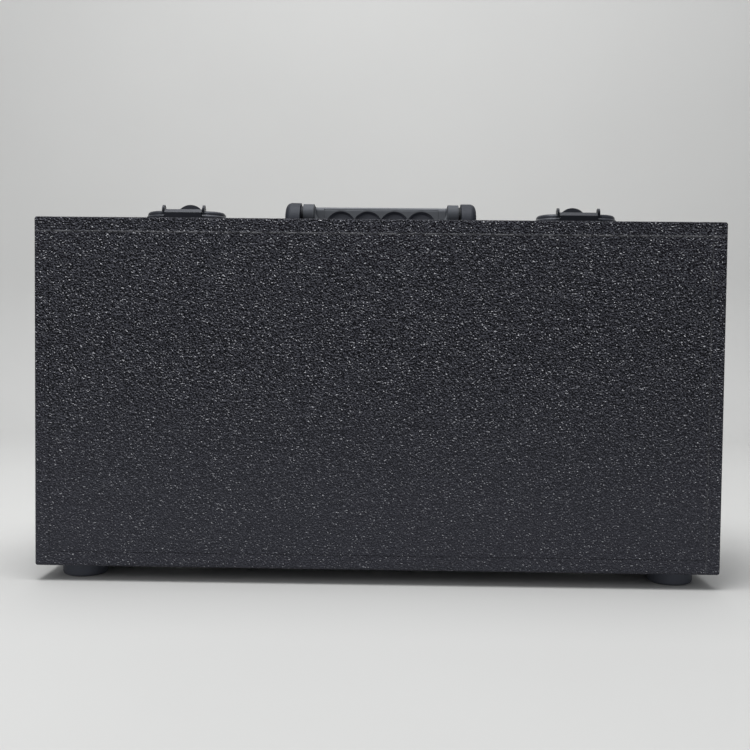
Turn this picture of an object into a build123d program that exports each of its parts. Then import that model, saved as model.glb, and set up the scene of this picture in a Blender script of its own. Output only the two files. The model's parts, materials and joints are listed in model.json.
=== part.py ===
from build123d import *
import os
from math import cos, radians, sin

os.makedirs("parts", exist_ok=True)

# A portable modular synth case that stands on its long side. X is the width, +Y points from the
# lid to the back, +Z is up. The origin is on the floor, under the middle of the case.

# Module bay: two rows, whose rails stand back to back, so the pitch is the standard 133.35
HP = 5.08
ROW_HP = 104
MODULE_SCREW_SPAN = 122.5
RAIL_HIGH = 10.0
RAIL_BACK_GAP = 0.85
ROW_PITCH = MODULE_SCREW_SPAN + RAIL_HIGH + RAIL_BACK_GAP
ROW_PLAY = 0.8
RAIL_PLAY = 1.2

# Wooden box
WALL = 12.0
LID_PANEL = 9.0
BACK_PANEL = 9.0
CHEEK = 9.0
CHEEK_DEPTH = 26.0
CHEEK_PROUD = 4.0
LID_DEPTH = 60.0
BODY_DEPTH = 109.7
SEAM = 0.3
EDGE_ROUND = 2.0
PANEL_GAP = 0.12
PANEL_BEVEL = 0.35

INNER_W = ROW_HP * HP + RAIL_PLAY + 2 * CHEEK
CASE_W = INNER_W + 2 * WALL
INNER_H = 2 * ROW_PITCH + ROW_PLAY
CASE_H = INNER_H + 2 * WALL
CASE_D = LID_DEPTH + SEAM + BODY_DEPTH

# Feet
FOOT_R = 19.0
FOOT_H = 13.0
FOOT_INSET = 14.0
FOOT_ROUND = 3.0
FOOT_WELL_R = 7.0
FOOT_FLOOR = 5.0

# Reference planes of the box
FRONT = -CASE_D / 2
LID_BACK = FRONT + LID_DEPTH
BODY_FRONT = LID_BACK + SEAM
BACK = CASE_D / 2
BOTTOM = FOOT_H
TOP = FOOT_H + CASE_H
FLOOR_IN = BOTTOM + WALL
MIDDLE_Z = BOTTOM + CASE_H / 2
SIDE = CASE_W / 2
SIDE_IN = INNER_W / 2

# Rails and threaded strips
RAIL_SETBACK = 8.0
RAIL_DEEP = 17.0
RAIL_WALL = 1.4
STRIP_HIGH = 7.0
STRIP_THICK = 2.0
STRIP_PLAY = 0.15
STRIP_SLOT = 4.4
STRIP_BACK_SLOT = 3.4
STRIP_HOLE_R = 1.25
STRIP_HOLES = 102
RAIL_BORE_R = 2.0
RAIL_GROOVE = 3.0
RAIL_GROOVE_Y = 7.5
RAIL_FRONT = BODY_FRONT + RAIL_SETBACK
RAIL_LEN = ROW_HP * HP + RAIL_PLAY
CHEEK_FRONT = RAIL_FRONT - CHEEK_PROUD

# Wood screws: shank and head of the small and the large size, and the play in their holes
SCREW_R = 1.6
SCREW_HEAD_R = 3.2
SCREW_HEAD_H = 1.8
BIG_SCREW_R = 2.1
BIG_HEAD_R = 4.2
BIG_HEAD_H = 2.4
SCREW_PLAY = 0.08
SCREW_BITE = 8.0
SCREW_END_GAP = 1.0

# Hinges under the bottom seam
HINGE_X = 185.0
HINGE_LONG = 60.0
HINGE_LEAF = 22.0
HINGE_THICK = 1.6
KNUCKLE_R = 3.2
HINGE_PIN_R = 1.6
PIN_PLAY = 0.05
HINGE_PIN_SHORT = 1.0
KNUCKLE_GAP = 0.3
HINGE_DROP = 0.2
HINGE_Y = (LID_BACK + BODY_FRONT) / 2
HINGE_Z = BOTTOM - HINGE_DROP - KNUCKLE_R
HINGE_SCREW_STEP = 21.0
HINGE_SCREW_Y = 14.0
HINGE_HEAD_H = 1.1
HINGE_HEAD_R = 2.8

# Draw latches on the top, either side of the handle
LATCH_X = 175.0
LATCH_W = 73.0
LATCH_D = 38.0
LATCH_BEHIND = 0.9
LEDGE_H = 9.7
LEDGE_BEVEL = 1.3
WING_INSET = 1.5
WING_H = 13.2
WING_ROUND = 2.8
LATCH_FLOOR = 2.0
CHANNEL_HALF = 16.9
EAR_THICK = 1.9
EAR_H = 18.5
EAR_DEEP = 9.0
EAR_TAPER = 0.5
CUT_OVER = 1.0
LATCH_PLAY = 0.3
LEVER_PIN_R = 1.5
PIVOT_BACK = 6.7
PIVOT_H = 9.1
HUB_R = 3.4
CLAW_ARM = 8.05
CLAW_DIP_DEG = 8.0
CLAW_PIN_R = 1.4
CLAW_EYE_R = 3.0
CLAW_THICK = 1.8
CLAW_NECK_HALF = 8.6
CLAW_BAR_HALF = 16.5
CLAW_HOOK_HALF = 14.0
CLAW_BEND_FROM_DEG = 42.0
CLAW_WALL_Y = 5.2
CLAW_BEVEL = 2.5
CLAW_HOOK_H = 5.1
CLAW_HOOK_Y = 13.0
CLAW_LIP_BOTTOM = 2.2
LEVER_ARM_HALF = 12.0
LEVER_THICK = 2.0
LEVER_REACH = 28.0
LEVER_LAP = 0.5
TAB_HALF = 10.2
TAB_TOP = 22.4
TAB_SHOULDER = 17.6
TAB_BEND = 3.0
TAB_LEAN = 1.2
TAB_NECK_H = 8.0
LEVER_GAP = 0.4
KEEPER_HALF = 24.0
KEEPER_THICK = 1.8
KEEPER_FRONT = 27.0
KEEPER_BACK = 0.8
KEEPER_LIP = 1.8
KEEPER_LIP_HALF = 13.0
KEEPER_CORNER = 4.0
GUSSET_LONG = 2.0
GUSSET_HIGH = 1.0
LATCH_WELL_R = 3.7
LATCH_SCREW_X = 25.0
LATCH_SCREW_Y = 7.5
LATCH_SEAT = 4.0
KEEPER_SCREW_X = 19.0

LATCH_Y0 = BODY_FRONT + LATCH_BEHIND
LATCH_Y = LATCH_Y0 + LATCH_D / 2
PIVOT_Y = BODY_FRONT + PIVOT_BACK
PIVOT_Z = TOP + PIVOT_H
CLAW_PIN_Y = PIVOT_Y + CLAW_ARM * cos(radians(CLAW_DIP_DEG))
CLAW_PIN_Z = PIVOT_Z - CLAW_ARM * sin(radians(CLAW_DIP_DEG))
CLAW_TIP_Y = PIVOT_Y - CLAW_HOOK_Y

# Folding handle
HANDLE_BACK = 36.7
HANDLE_PIVOT_H = 13.0
CAP_X0 = 73.0
CAP_WIDE = 13.4
CAP_LONG = 44.0
CAP_H = 25.0
CAP_END_H = 3.0
CAP_ROUND = 5.5
CAP_BOSS_R = 9.2
CAP_BITE = 7.0
CAP_SCREW_SHIFT = 5.0
CAP_SCREW_Y = 10.0
BOW_GAP = 2.3
LEG_WIDE = 9.5
HUB_BOW_R = 11.2
HANDLE_PIN_R = 4.0
PIN_HEAD = 3.0
GRIP_REACH = 17.0
GRIP_DEEP = 24.0
GRIP_BOTTOM = 4.0
GRIP_TOP = 24.0
GRIP_ROUND = 4.0
GRIP_HALF = 53.5
FLARE_WIDE = 8.4
FLARE_DROP = 2.0
FLARE_BEVEL = 1.6
FLARE_START = -6.0
FLARE_BEND_X = 0.32
FLARE_BEND_Z = 0.42
FLARE_LAP = 1.0
GRIP_JOINT = 0.25
CORE_DEEP = 12.0
CORE_HIGH = 8.0
CORE_PLAY = 0.2
SCALLOPS = 4
SCALLOP_PITCH = 25.0
SCALLOP_R = 14.2
SCALLOP_TOP = 20.0
SCALLOP_CUT = 5.0
SCALLOP_TAPER = 18.0
RIM_WIDE = 1.2
RIM_PROUD = 0.6
GRIP_LINE_Z = 21.9
GRIP_LINE = 0.5
GRIP_LINE_DEEP = 1.1

BOW_OUT = CAP_X0 - BOW_GAP
BOW_IN = BOW_OUT - LEG_WIDE
HANDLE_Y = BODY_FRONT + HANDLE_BACK
HANDLE_Z = TOP + HANDLE_PIVOT_H
GRIP_Y0 = HANDLE_Y + GRIP_REACH
GRIP_Y = GRIP_Y0 + GRIP_DEEP / 2
GRIP_Z = TOP + (GRIP_BOTTOM + GRIP_TOP) / 2

# Power: bus boards on the back, supply board, and the inlet plate in the right wall
BOARD_THICK = 1.6
STANDOFF_H = 6.0
STANDOFF_R = 3.0
STUD_R = 1.5
STUD_PROUD = 1.4
BOARD_CORNER = 3.0
BUS_INSET_X = 8.0
BUS_INSET_Z = 6.0
SUPPLY_INSET = 7.0
BUS_LONG = 360.0
BUS_HIGH = 36.0
BUS_X = -70.0
BUS_HEADERS = 7
BUS_HEADER_STEP = 48.0
HEADER_LONG = 22.0
HEADER_DEEP = 9.0
HEADER_H = 8.6
SUPPLY_LONG = 96.0
SUPPLY_HIGH = 130.0
SUPPLY_X = 190.0
SINK_LONG = 60.0
SINK_HIGH = 40.0
SINK_DEEP = 20.0
SINK_BASE = 4.0
SINK_FINS = 7
SINK_FIN = 1.8
SINK_UP = 30.0
CAP_CAN_R = 6.0
CAP_CAN_H = 18.0
CAP_CANS = 4
CAP_CAN_STEP = 20.0
CAP_CAN_DOWN = 30.0
PLATE_LONG = 74.0
PLATE_HIGH = 34.0
PLATE_THICK = 2.0
PLATE_SUNK = 5.6
PLATE_CORNER = 2.0
PLATE_LEDGE = 7.0
PLATE_UP = 36.0
PLATE_CHEEK_GAP = 0.8
PLATE_PLAY = 0.3
PLATE_SCREW_Y = 32.0
JACK_Y = -16.0
JACK_R = 5.6
JACK_FLANGE_R = 7.5
JACK_FLANGE = 1.6
JACK_LONG = 16.0
JACK_HOLE_R = 3.2
JACK_DEEP = 10.0
JACK_PIN_R = 1.0
JACK_PIN_BACK = 1.5
NUT_ACROSS = 16.0
NUT_H = 3.0
SWITCH_Y = 12.0
SWITCH_LONG = 21.0
SWITCH_HIGH = 15.0
SWITCH_RIM = 1.0
SWITCH_CORNER = 1.5
SWITCH_WELL_LONG = 17.0
SWITCH_WELL_HIGH = 10.6
SWITCH_FLANGE = 1.6
SWITCH_DEEP = 18.0
SWITCH_WELL = 11.0
ROCKER_PLAY = 0.3
ROCKER_TILT = 8.0
ROCKER_LONG = 15.0
ROCKER_AXIS = 3.0
ROCKER_END = -2.2
ROCKER_BELOW = 2.5
ROCKER_FOOT = 0.9
ROCKER_STUB = 1.0
ROCKER_STUB_R = 1.2

PLATE_Y = CHEEK_FRONT + CHEEK_DEPTH + PLATE_CHEEK_GAP + JACK_R - JACK_Y
PLATE_Z = FLOOR_IN + PLATE_UP
BACK_IN = BACK - BACK_PANEL
BOARD_BACK = BACK_IN - STANDOFF_H
BOARD_FACE = BOARD_BACK - BOARD_THICK
ROW_Z = {"lower": MIDDLE_Z - ROW_PITCH / 2, "upper": MIDDLE_Z + ROW_PITCH / 2}


def save(part, name):
    part.label = name
    export_step(part, f"parts/{name}.step")


def on_outside(edge):
    """Counts the outer faces of the whole case that an edge lies on."""
    c = edge.center()
    near = 1e-3
    planes = (abs(abs(c.X) - SIDE), abs(c.Y - FRONT), abs(c.Y - BACK), abs(c.Z - TOP), abs(c.Z - BOTTOM))
    return sum(distance < near for distance in planes)


def foot_centres(body):
    """Foot centres under the lid or under the body."""
    y = FRONT + FOOT_INSET + FOOT_R if body == "lid" else BACK - FOOT_INSET - FOOT_R
    x = SIDE - FOOT_INSET - FOOT_R
    return [(-x, y), (x, y)]


def hinge_screws(sign):
    """Screw centres of both hinges' leaves, on the lid side for -1 and the body side for 1."""
    return [
        (side * HINGE_X + step * HINGE_SCREW_STEP, HINGE_Y + sign * HINGE_SCREW_Y)
        for side in (-1, 1)
        for step in (-1, 1)
    ]


LATCH_SCREWS = [
    (side * LATCH_X + a * LATCH_SCREW_X, LATCH_Y + b * LATCH_SCREW_Y)
    for side in (-1, 1)
    for a in (-1, 1)
    for b in (-1, 1)
]
KEEPER_SCREWS = [
    (side * LATCH_X + a * KEEPER_SCREW_X, LID_BACK - (KEEPER_FRONT + KEEPER_BACK) / 2)
    for side in (-1, 1)
    for a in (-1, 1)
]
CAP_SCREWS = [
    (side * (CAP_X0 + CAP_WIDE / 2), HANDLE_Y + CAP_SCREW_SHIFT + b * CAP_SCREW_Y)
    for side in (-1, 1)
    for b in (-1, 1)
]


def holes_down(points, top, radius, depth):
    """Cuts blind holes downward from a level, into the part being built."""
    with BuildSketch(Plane.XY.offset(top)) as spots:
        with Locations(*points):
            Circle(radius)
    extrude(spots.sketch, amount=-depth, mode=Mode.SUBTRACT)


def holes_up(points, bottom, radius, depth):
    """Cuts blind holes upward from a level, into the part being built."""
    with BuildSketch(Plane.XY.offset(bottom)) as spots:
        with Locations(*points):
            Circle(radius)
    extrude(spots.sketch, amount=depth, mode=Mode.SUBTRACT)


# Planks: the top and bottom run the full width, the sides stand between them
def level_plank(y0, y1, z0, screws_top=(), screws_bottom=(), through=()):
    """A top or bottom plank, with pilot holes as (points, radius) from above or below, or right through."""
    with BuildPart() as plank:
        with BuildSketch(Plane.XY.offset(z0)):
            with Locations((0, (y0 + y1) / 2)):
                Rectangle(CASE_W, y1 - y0)
        extrude(amount=WALL)
        fillet(plank.edges().filter_by(lambda e: on_outside(e) > 1), EDGE_ROUND)
        for points, radius in screws_top:
            holes_down(points, z0 + WALL, radius + SCREW_PLAY, SCREW_BITE)
        for points, radius in screws_bottom:
            holes_up(points, z0, radius + SCREW_PLAY, SCREW_BITE)
        for points, radius in through:
            holes_up(points, z0, radius + SCREW_PLAY, WALL)
    return plank


def side_plank(side, y0, y1):
    """A left (-1) or right (1) plank between the top and the bottom."""
    with BuildPart() as plank:
        with BuildSketch(Plane.XY.offset(FLOOR_IN)):
            with Locations((side * (SIDE - WALL / 2), (y0 + y1) / 2)):
                Rectangle(WALL, y1 - y0)
        extrude(amount=INNER_H)
        fillet(plank.edges().filter_by(lambda e: on_outside(e) > 1), EDGE_ROUND)
    return plank


body_top = level_plank(
    BODY_FRONT,
    BACK,
    TOP - WALL,
    screws_top=[(LATCH_SCREWS, SCREW_R)],
    through=[(CAP_SCREWS, BIG_SCREW_R)],
)
save(body_top.part, "body_top")
body_bottom = level_plank(
    BODY_FRONT,
    BACK,
    BOTTOM,
    screws_bottom=[(foot_centres("body"), BIG_SCREW_R), (hinge_screws(1), SCREW_R)],
)
save(body_bottom.part, "body_bottom")
lid_top = level_plank(FRONT, LID_BACK, TOP - WALL, screws_top=[(KEEPER_SCREWS, SCREW_R)])
save(lid_top.part, "lid_top")
lid_bottom = level_plank(
    FRONT,
    LID_BACK,
    BOTTOM,
    screws_bottom=[(foot_centres("lid"), BIG_SCREW_R), (hinge_screws(-1), SCREW_R)],
)
save(lid_bottom.part, "lid_bottom")
for side, word in ((-1, "left"), (1, "right")):
    lid_side = side_plank(side, FRONT, LID_BACK)
    save(lid_side.part, f"lid_{word}")

body_left = side_plank(-1, BODY_FRONT, BACK)
save(body_left.part, "body_left")

with BuildPart() as body_right:
    with BuildSketch(Plane.XY.offset(FLOOR_IN)):
        with Locations((SIDE - WALL / 2, (BODY_FRONT + BACK) / 2)):
            Rectangle(WALL, BODY_DEPTH)
    extrude(amount=INNER_H)
    fillet(body_right.edges().filter_by(lambda e: on_outside(e) > 1), EDGE_ROUND)
    # The inlet plate lies on a ledge, below the outer face, over a window
    with BuildSketch(Plane.YZ.offset(SIDE)):
        with Locations((PLATE_Y, PLATE_Z)):
            Rectangle(PLATE_LONG + 2 * PLATE_PLAY, PLATE_HIGH + 2 * PLATE_PLAY)
    extrude(amount=-(PLATE_SUNK + PLATE_THICK), mode=Mode.SUBTRACT)
    with BuildSketch(Plane.YZ.offset(SIDE)):
        with Locations((PLATE_Y, PLATE_Z)):
            Rectangle(PLATE_LONG - 2 * PLATE_LEDGE, PLATE_HIGH - PLATE_LEDGE)
    extrude(amount=-WALL, mode=Mode.SUBTRACT)
    with BuildSketch(Plane.YZ.offset(SIDE - PLATE_SUNK - PLATE_THICK)):
        with Locations((PLATE_Y - PLATE_SCREW_Y, PLATE_Z), (PLATE_Y + PLATE_SCREW_Y, PLATE_Z)):
            Circle(SCREW_R + SCREW_PLAY)
    extrude(amount=-(WALL - PLATE_SUNK - PLATE_THICK), mode=Mode.SUBTRACT)
save(body_right.part, "body_right")


# The front and back panels are let in between the planks
def let_in_panel(y_out, thick, inward):
    """A panel whose outer face is at y_out and whose thickness runs inward (1 or -1 along Y)."""
    plane = Plane(origin=(0, y_out, MIDDLE_Z), x_dir=(1, 0, 0), z_dir=(0, inward, 0))
    with BuildPart() as panel:
        with BuildSketch(plane):
            Rectangle(INNER_W - 2 * PANEL_GAP, INNER_H - 2 * PANEL_GAP)
        extrude(amount=thick)
        chamfer(panel.faces().sort_by(Axis.Y)[0 if inward > 0 else -1].edges(), PANEL_BEVEL)
    return panel


lid_panel = let_in_panel(FRONT, LID_PANEL, 1)
save(lid_panel.part, "lid_panel")
body_back = let_in_panel(BACK, BACK_PANEL, -1)
save(body_back.part, "body_back")


# Cheeks carry the ends of the rails
RAIL_LEVELS = {
    f"{row}_{edge}": z + sign * MODULE_SCREW_SPAN / 2
    for row, z in ROW_Z.items()
    for edge, sign in (("bottom", -1), ("top", 1))
}
RAIL_BORE_Y = RAIL_FRONT + RAIL_DEEP - RAIL_HIGH / 2


def cheek(side):
    """An inner side strip, glued to the wall, with holes for the rail screws."""
    inner = side * (SIDE_IN - CHEEK)
    with BuildPart() as strip:
        with BuildSketch(Plane.XY.offset(FLOOR_IN)):
            with Locations((side * (SIDE_IN - CHEEK / 2), CHEEK_FRONT + CHEEK_DEPTH / 2)):
                Rectangle(CHEEK, CHEEK_DEPTH)
        extrude(amount=INNER_H)
        with BuildSketch(Plane.YZ.offset(inner)):
            with Locations(*[(RAIL_BORE_Y, z) for z in RAIL_LEVELS.values()]):
                Circle(RAIL_BORE_R + SCREW_PLAY)
        extrude(amount=side * CHEEK, mode=Mode.SUBTRACT)
        with BuildSketch(Plane.YZ.offset(side * SIDE_IN)):
            with Locations(*[(RAIL_BORE_Y, z) for z in RAIL_LEVELS.values()]):
                Circle(BIG_HEAD_R + SCREW_PLAY)
        extrude(amount=-side * (BIG_HEAD_H + SCREW_PLAY), mode=Mode.SUBTRACT)
    return strip


for side, word in ((-1, "left"), (1, "right")):
    cheek_strip = cheek(side)
    save(cheek_strip.part, f"cheek_{word}")


# Rails: one extruded profile, with a slot for the threaded strip and a bore for the end screw
def rail(level):
    """A rail at a height, running from cheek to cheek."""
    cavity_y = RAIL_WALL + STRIP_THICK / 2 + STRIP_PLAY
    web_y = RAIL_WALL + STRIP_THICK + 2 * STRIP_PLAY
    plane = Plane(origin=(-RAIL_LEN / 2, RAIL_FRONT, level), x_dir=(0, 1, 0), z_dir=(1, 0, 0))
    with BuildPart() as bar:
        with BuildSketch(plane):
            with Locations((RAIL_DEEP / 2, 0)):
                Rectangle(RAIL_DEEP, RAIL_HIGH)
            with Locations((cavity_y, 0)):
                Rectangle(STRIP_THICK + 2 * STRIP_PLAY, STRIP_HIGH + 2 * STRIP_PLAY, mode=Mode.SUBTRACT)
            with Locations((RAIL_WALL, 0)):
                Rectangle(2 * RAIL_WALL, STRIP_SLOT, mode=Mode.SUBTRACT)
            with Locations((web_y + RAIL_WALL, 0)):
                Rectangle(2 * RAIL_WALL, STRIP_BACK_SLOT, mode=Mode.SUBTRACT)
            with Locations((RAIL_DEEP - RAIL_HIGH / 2, 0)):
                Circle(RAIL_BORE_R, mode=Mode.SUBTRACT)
            for sign in (-1, 1):
                with Locations((RAIL_GROOVE_Y, sign * RAIL_HIGH / 2)):
                    Rectangle(RAIL_GROOVE, 2 * RAIL_WALL, mode=Mode.SUBTRACT)
        extrude(amount=RAIL_LEN)
    return bar


for name, level in RAIL_LEVELS.items():
    rail_bar = rail(level)
    save(rail_bar.part, f"rail_{name}")

# Threaded strips: the outermost holes of each strip are the ones that carry a full-width panel
STRIP_Y = RAIL_FRONT + RAIL_WALL + STRIP_PLAY
STRIP_LEN = ROW_HP * HP
HOLE_SPAN = (STRIP_HOLES - 1) * HP
with BuildPart() as threaded_strips:
    with BuildSketch(Plane.XZ.offset(-STRIP_Y)):
        with Locations(*[(0, level) for level in RAIL_LEVELS.values()]):
            Rectangle(STRIP_LEN, STRIP_HIGH)
        with Locations(*[(x * HOLE_SPAN / 2, z) for z in RAIL_LEVELS.values() for x in (-1, 1)]):
            Circle(STRIP_HOLE_R, mode=Mode.SUBTRACT)
    extrude(amount=-STRIP_THICK)
save(threaded_strips.part, "threaded_strips")

# Rail screws run through the cheeks into the rails
with BuildPart() as rail_screws:
    for side in (-1, 1):
        seat = side * (SIDE_IN - BIG_HEAD_H - SCREW_PLAY)
        with BuildSketch(Plane.YZ.offset(seat)):
            with Locations(*[(RAIL_BORE_Y, z) for z in RAIL_LEVELS.values()]):
                Circle(BIG_HEAD_R)
        extrude(amount=side * BIG_HEAD_H)
        with BuildSketch(Plane.YZ.offset(seat)):
            with Locations(*[(RAIL_BORE_Y, z) for z in RAIL_LEVELS.values()]):
                Circle(RAIL_BORE_R - SCREW_PLAY)
        extrude(amount=-side * (CHEEK + SCREW_BITE))
save(rail_screws.part, "rail_screws")


# Feet and their screws
def feet(body):
    """The two rubber feet of the lid or of the body, each with a well for its screw."""
    with BuildPart() as pair:
        with BuildSketch(Plane.XY):
            with Locations(*foot_centres(body)):
                Circle(FOOT_R)
        extrude(amount=FOOT_H)
        fillet(pair.faces().sort_by(Axis.Z)[0:2].edges(), FOOT_ROUND)
        with BuildSketch(Plane.XY):
            with Locations(*foot_centres(body)):
                Circle(FOOT_WELL_R)
        extrude(amount=FOOT_FLOOR, mode=Mode.SUBTRACT)
        with BuildSketch(Plane.XY):
            with Locations(*foot_centres(body)):
                Circle(BIG_SCREW_R + SCREW_PLAY)
        extrude(amount=FOOT_H, mode=Mode.SUBTRACT)
    return pair


def foot_screws(body):
    """The screws that hold the two feet of the lid or of the body."""
    with BuildPart() as pair:
        with BuildSketch(Plane.XY.offset(FOOT_FLOOR)):
            with Locations(*foot_centres(body)):
                Circle(BIG_HEAD_R)
        extrude(amount=-BIG_HEAD_H)
        with BuildSketch(Plane.XY.offset(FOOT_FLOOR)):
            with Locations(*foot_centres(body)):
                Circle(BIG_SCREW_R)
        extrude(amount=FOOT_H - FOOT_FLOOR + SCREW_BITE - SCREW_END_GAP)
    return pair


for body in ("lid", "body"):
    foot_pair = feet(body)
    save(foot_pair.part, f"{body}_feet")
    foot_screw_pair = foot_screws(body)
    save(foot_screw_pair.part, f"{body}_foot_screws")


# Hinges: lift-off pairs, each with one knuckle on the body leaf and one on the lid leaf
def hinge_leaves(sign):
    """Both leaves of the lid (-1) or of the body (1), with their knuckles and screw holes."""
    half = HINGE_LONG / 2
    clear = KNUCKLE_R + KNUCKLE_GAP
    with BuildPart() as leaves:
        for side in (-1, 1):
            own = side * HINGE_X + sign * HINGE_LONG / 4
            other = side * HINGE_X - sign * HINGE_LONG / 4
            with BuildSketch(Plane.XY.offset(BOTTOM)):
                with Locations((side * HINGE_X, HINGE_Y + sign * HINGE_LEAF / 2)):
                    Rectangle(HINGE_LONG, HINGE_LEAF)
                with Locations((other, HINGE_Y + sign * clear / 2)):
                    Rectangle(half + KNUCKLE_GAP, clear, mode=Mode.SUBTRACT)
            extrude(amount=-HINGE_THICK)
            barrel = Plane(
                origin=(own - half / 2 + KNUCKLE_GAP / 2, HINGE_Y, HINGE_Z), x_dir=(0, 1, 0), z_dir=(1, 0, 0)
            )
            with BuildSketch(barrel):
                Circle(KNUCKLE_R)
            extrude(amount=half - KNUCKLE_GAP)
        for side in (-1, 1):
            bore = Plane(origin=(side * HINGE_X - half, HINGE_Y, HINGE_Z), x_dir=(0, 1, 0), z_dir=(1, 0, 0))
            with BuildSketch(bore):
                Circle(HINGE_PIN_R + PIN_PLAY)
            extrude(amount=HINGE_LONG, mode=Mode.SUBTRACT)
        holes_up(hinge_screws(sign), BOTTOM - HINGE_THICK, SCREW_R + SCREW_PLAY, HINGE_THICK)
        holes_up(hinge_screws(sign), BOTTOM - HINGE_THICK, HINGE_HEAD_R + SCREW_PLAY, HINGE_HEAD_H)
    return leaves


def leaf_screws(sign):
    """The flush screws of the lid's (-1) or the body's (1) leaves."""
    with BuildPart() as screws:
        with BuildSketch(Plane.XY.offset(BOTTOM - HINGE_THICK + HINGE_HEAD_H)):
            with Locations(*hinge_screws(sign)):
                Circle(HINGE_HEAD_R)
        extrude(amount=-HINGE_HEAD_H)
        with BuildSketch(Plane.XY.offset(BOTTOM - HINGE_THICK + HINGE_HEAD_H)):
            with Locations(*hinge_screws(sign)):
                Circle(SCREW_R)
        extrude(amount=SCREW_BITE - SCREW_END_GAP)
    return screws


for sign, body in ((-1, "lid"), (1, "body")):
    leaf_pair = hinge_leaves(sign)
    save(leaf_pair.part, f"hinge_{body}_leaves")
    leaf_screw_set = leaf_screws(sign)
    save(leaf_screw_set.part, f"hinge_{body}_screws")

with BuildPart() as hinge_pins:
    for side in (-1, 1):
        start = side * HINGE_X - HINGE_LONG / 2 + HINGE_PIN_SHORT
        with BuildSketch(Plane(origin=(start, HINGE_Y, HINGE_Z), x_dir=(0, 1, 0), z_dir=(1, 0, 0))):
            Circle(HINGE_PIN_R)
        extrude(amount=HINGE_LONG - 2 * HINGE_PIN_SHORT)
save(hinge_pins.part, "hinge_pins")


# Draw latches
def across(x, half, plane_y=0.0, plane_z=0.0):
    """A plane across the latch whose sketch reads (Y, Z), at its left end, for an extrude of 2 * half."""
    return Plane(origin=(x - half, plane_y, plane_z), x_dir=(0, 1, 0), z_dir=(1, 0, 0))


def latch_base(x):
    """The cast base: two stepped wings, a channel for the lever, and an ear either side of it."""
    with BuildPart() as base:
        with BuildSketch(Plane.XY.offset(TOP)):
            with Locations((x, LATCH_Y)):
                SlotOverall(LATCH_W, LATCH_D)
        extrude(amount=LEDGE_H)
        chamfer(base.faces().sort_by(Axis.Z)[-1].edges(), LEDGE_BEVEL)
        with BuildSketch(Plane.XY.offset(TOP + LATCH_FLOOR)):
            with Locations((x, LATCH_Y)):
                SlotOverall(LATCH_W - 2 * WING_INSET, LATCH_D - 2 * WING_INSET)
        extrude(amount=WING_H - LATCH_FLOOR)
        fillet(base.faces().sort_by(Axis.Z)[-1].edges(), WING_ROUND)
        with BuildSketch(Plane.XY.offset(TOP + LATCH_FLOOR)):
            with Locations((x, LATCH_Y)):
                Rectangle(2 * CHANNEL_HALF, LATCH_D + CUT_OVER)
        extrude(amount=WING_H, mode=Mode.SUBTRACT)
        for sign in (-1, 1):
            ear_in = x + sign * CHANNEL_HALF - (EAR_THICK if sign < 0 else 0)
            with BuildSketch(across(ear_in, 0)):
                with BuildLine():
                    Polyline(
                        (PIVOT_Y + EAR_DEEP / 2, TOP + EAR_H - EAR_DEEP / 2),
                        (PIVOT_Y + EAR_DEEP / 2, TOP),
                        (PIVOT_Y - EAR_DEEP / 2 + EAR_TAPER, TOP),
                        (PIVOT_Y - EAR_DEEP / 2, TOP + EAR_H - EAR_DEEP / 2),
                    )
                    ThreePointArc(
                        (PIVOT_Y - EAR_DEEP / 2, TOP + EAR_H - EAR_DEEP / 2),
                        (PIVOT_Y, TOP + EAR_H),
                        (PIVOT_Y + EAR_DEEP / 2, TOP + EAR_H - EAR_DEEP / 2),
                    )
                make_face()
            extrude(amount=EAR_THICK)
        with BuildSketch(across(x, CHANNEL_HALF + EAR_THICK, PIVOT_Y, PIVOT_Z)):
            Circle(LEVER_PIN_R + SCREW_PLAY / 2)
        extrude(amount=2 * (CHANNEL_HALF + EAR_THICK), mode=Mode.SUBTRACT)
        own = [point for point in LATCH_SCREWS if abs(point[0] - x) < LATCH_W / 2]
        holes_down(own, TOP + WING_H, SCREW_R + SCREW_PLAY, WING_H)
        holes_down(own, TOP + WING_H, LATCH_WELL_R, WING_H - LATCH_SEAT)
    return base


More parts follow.
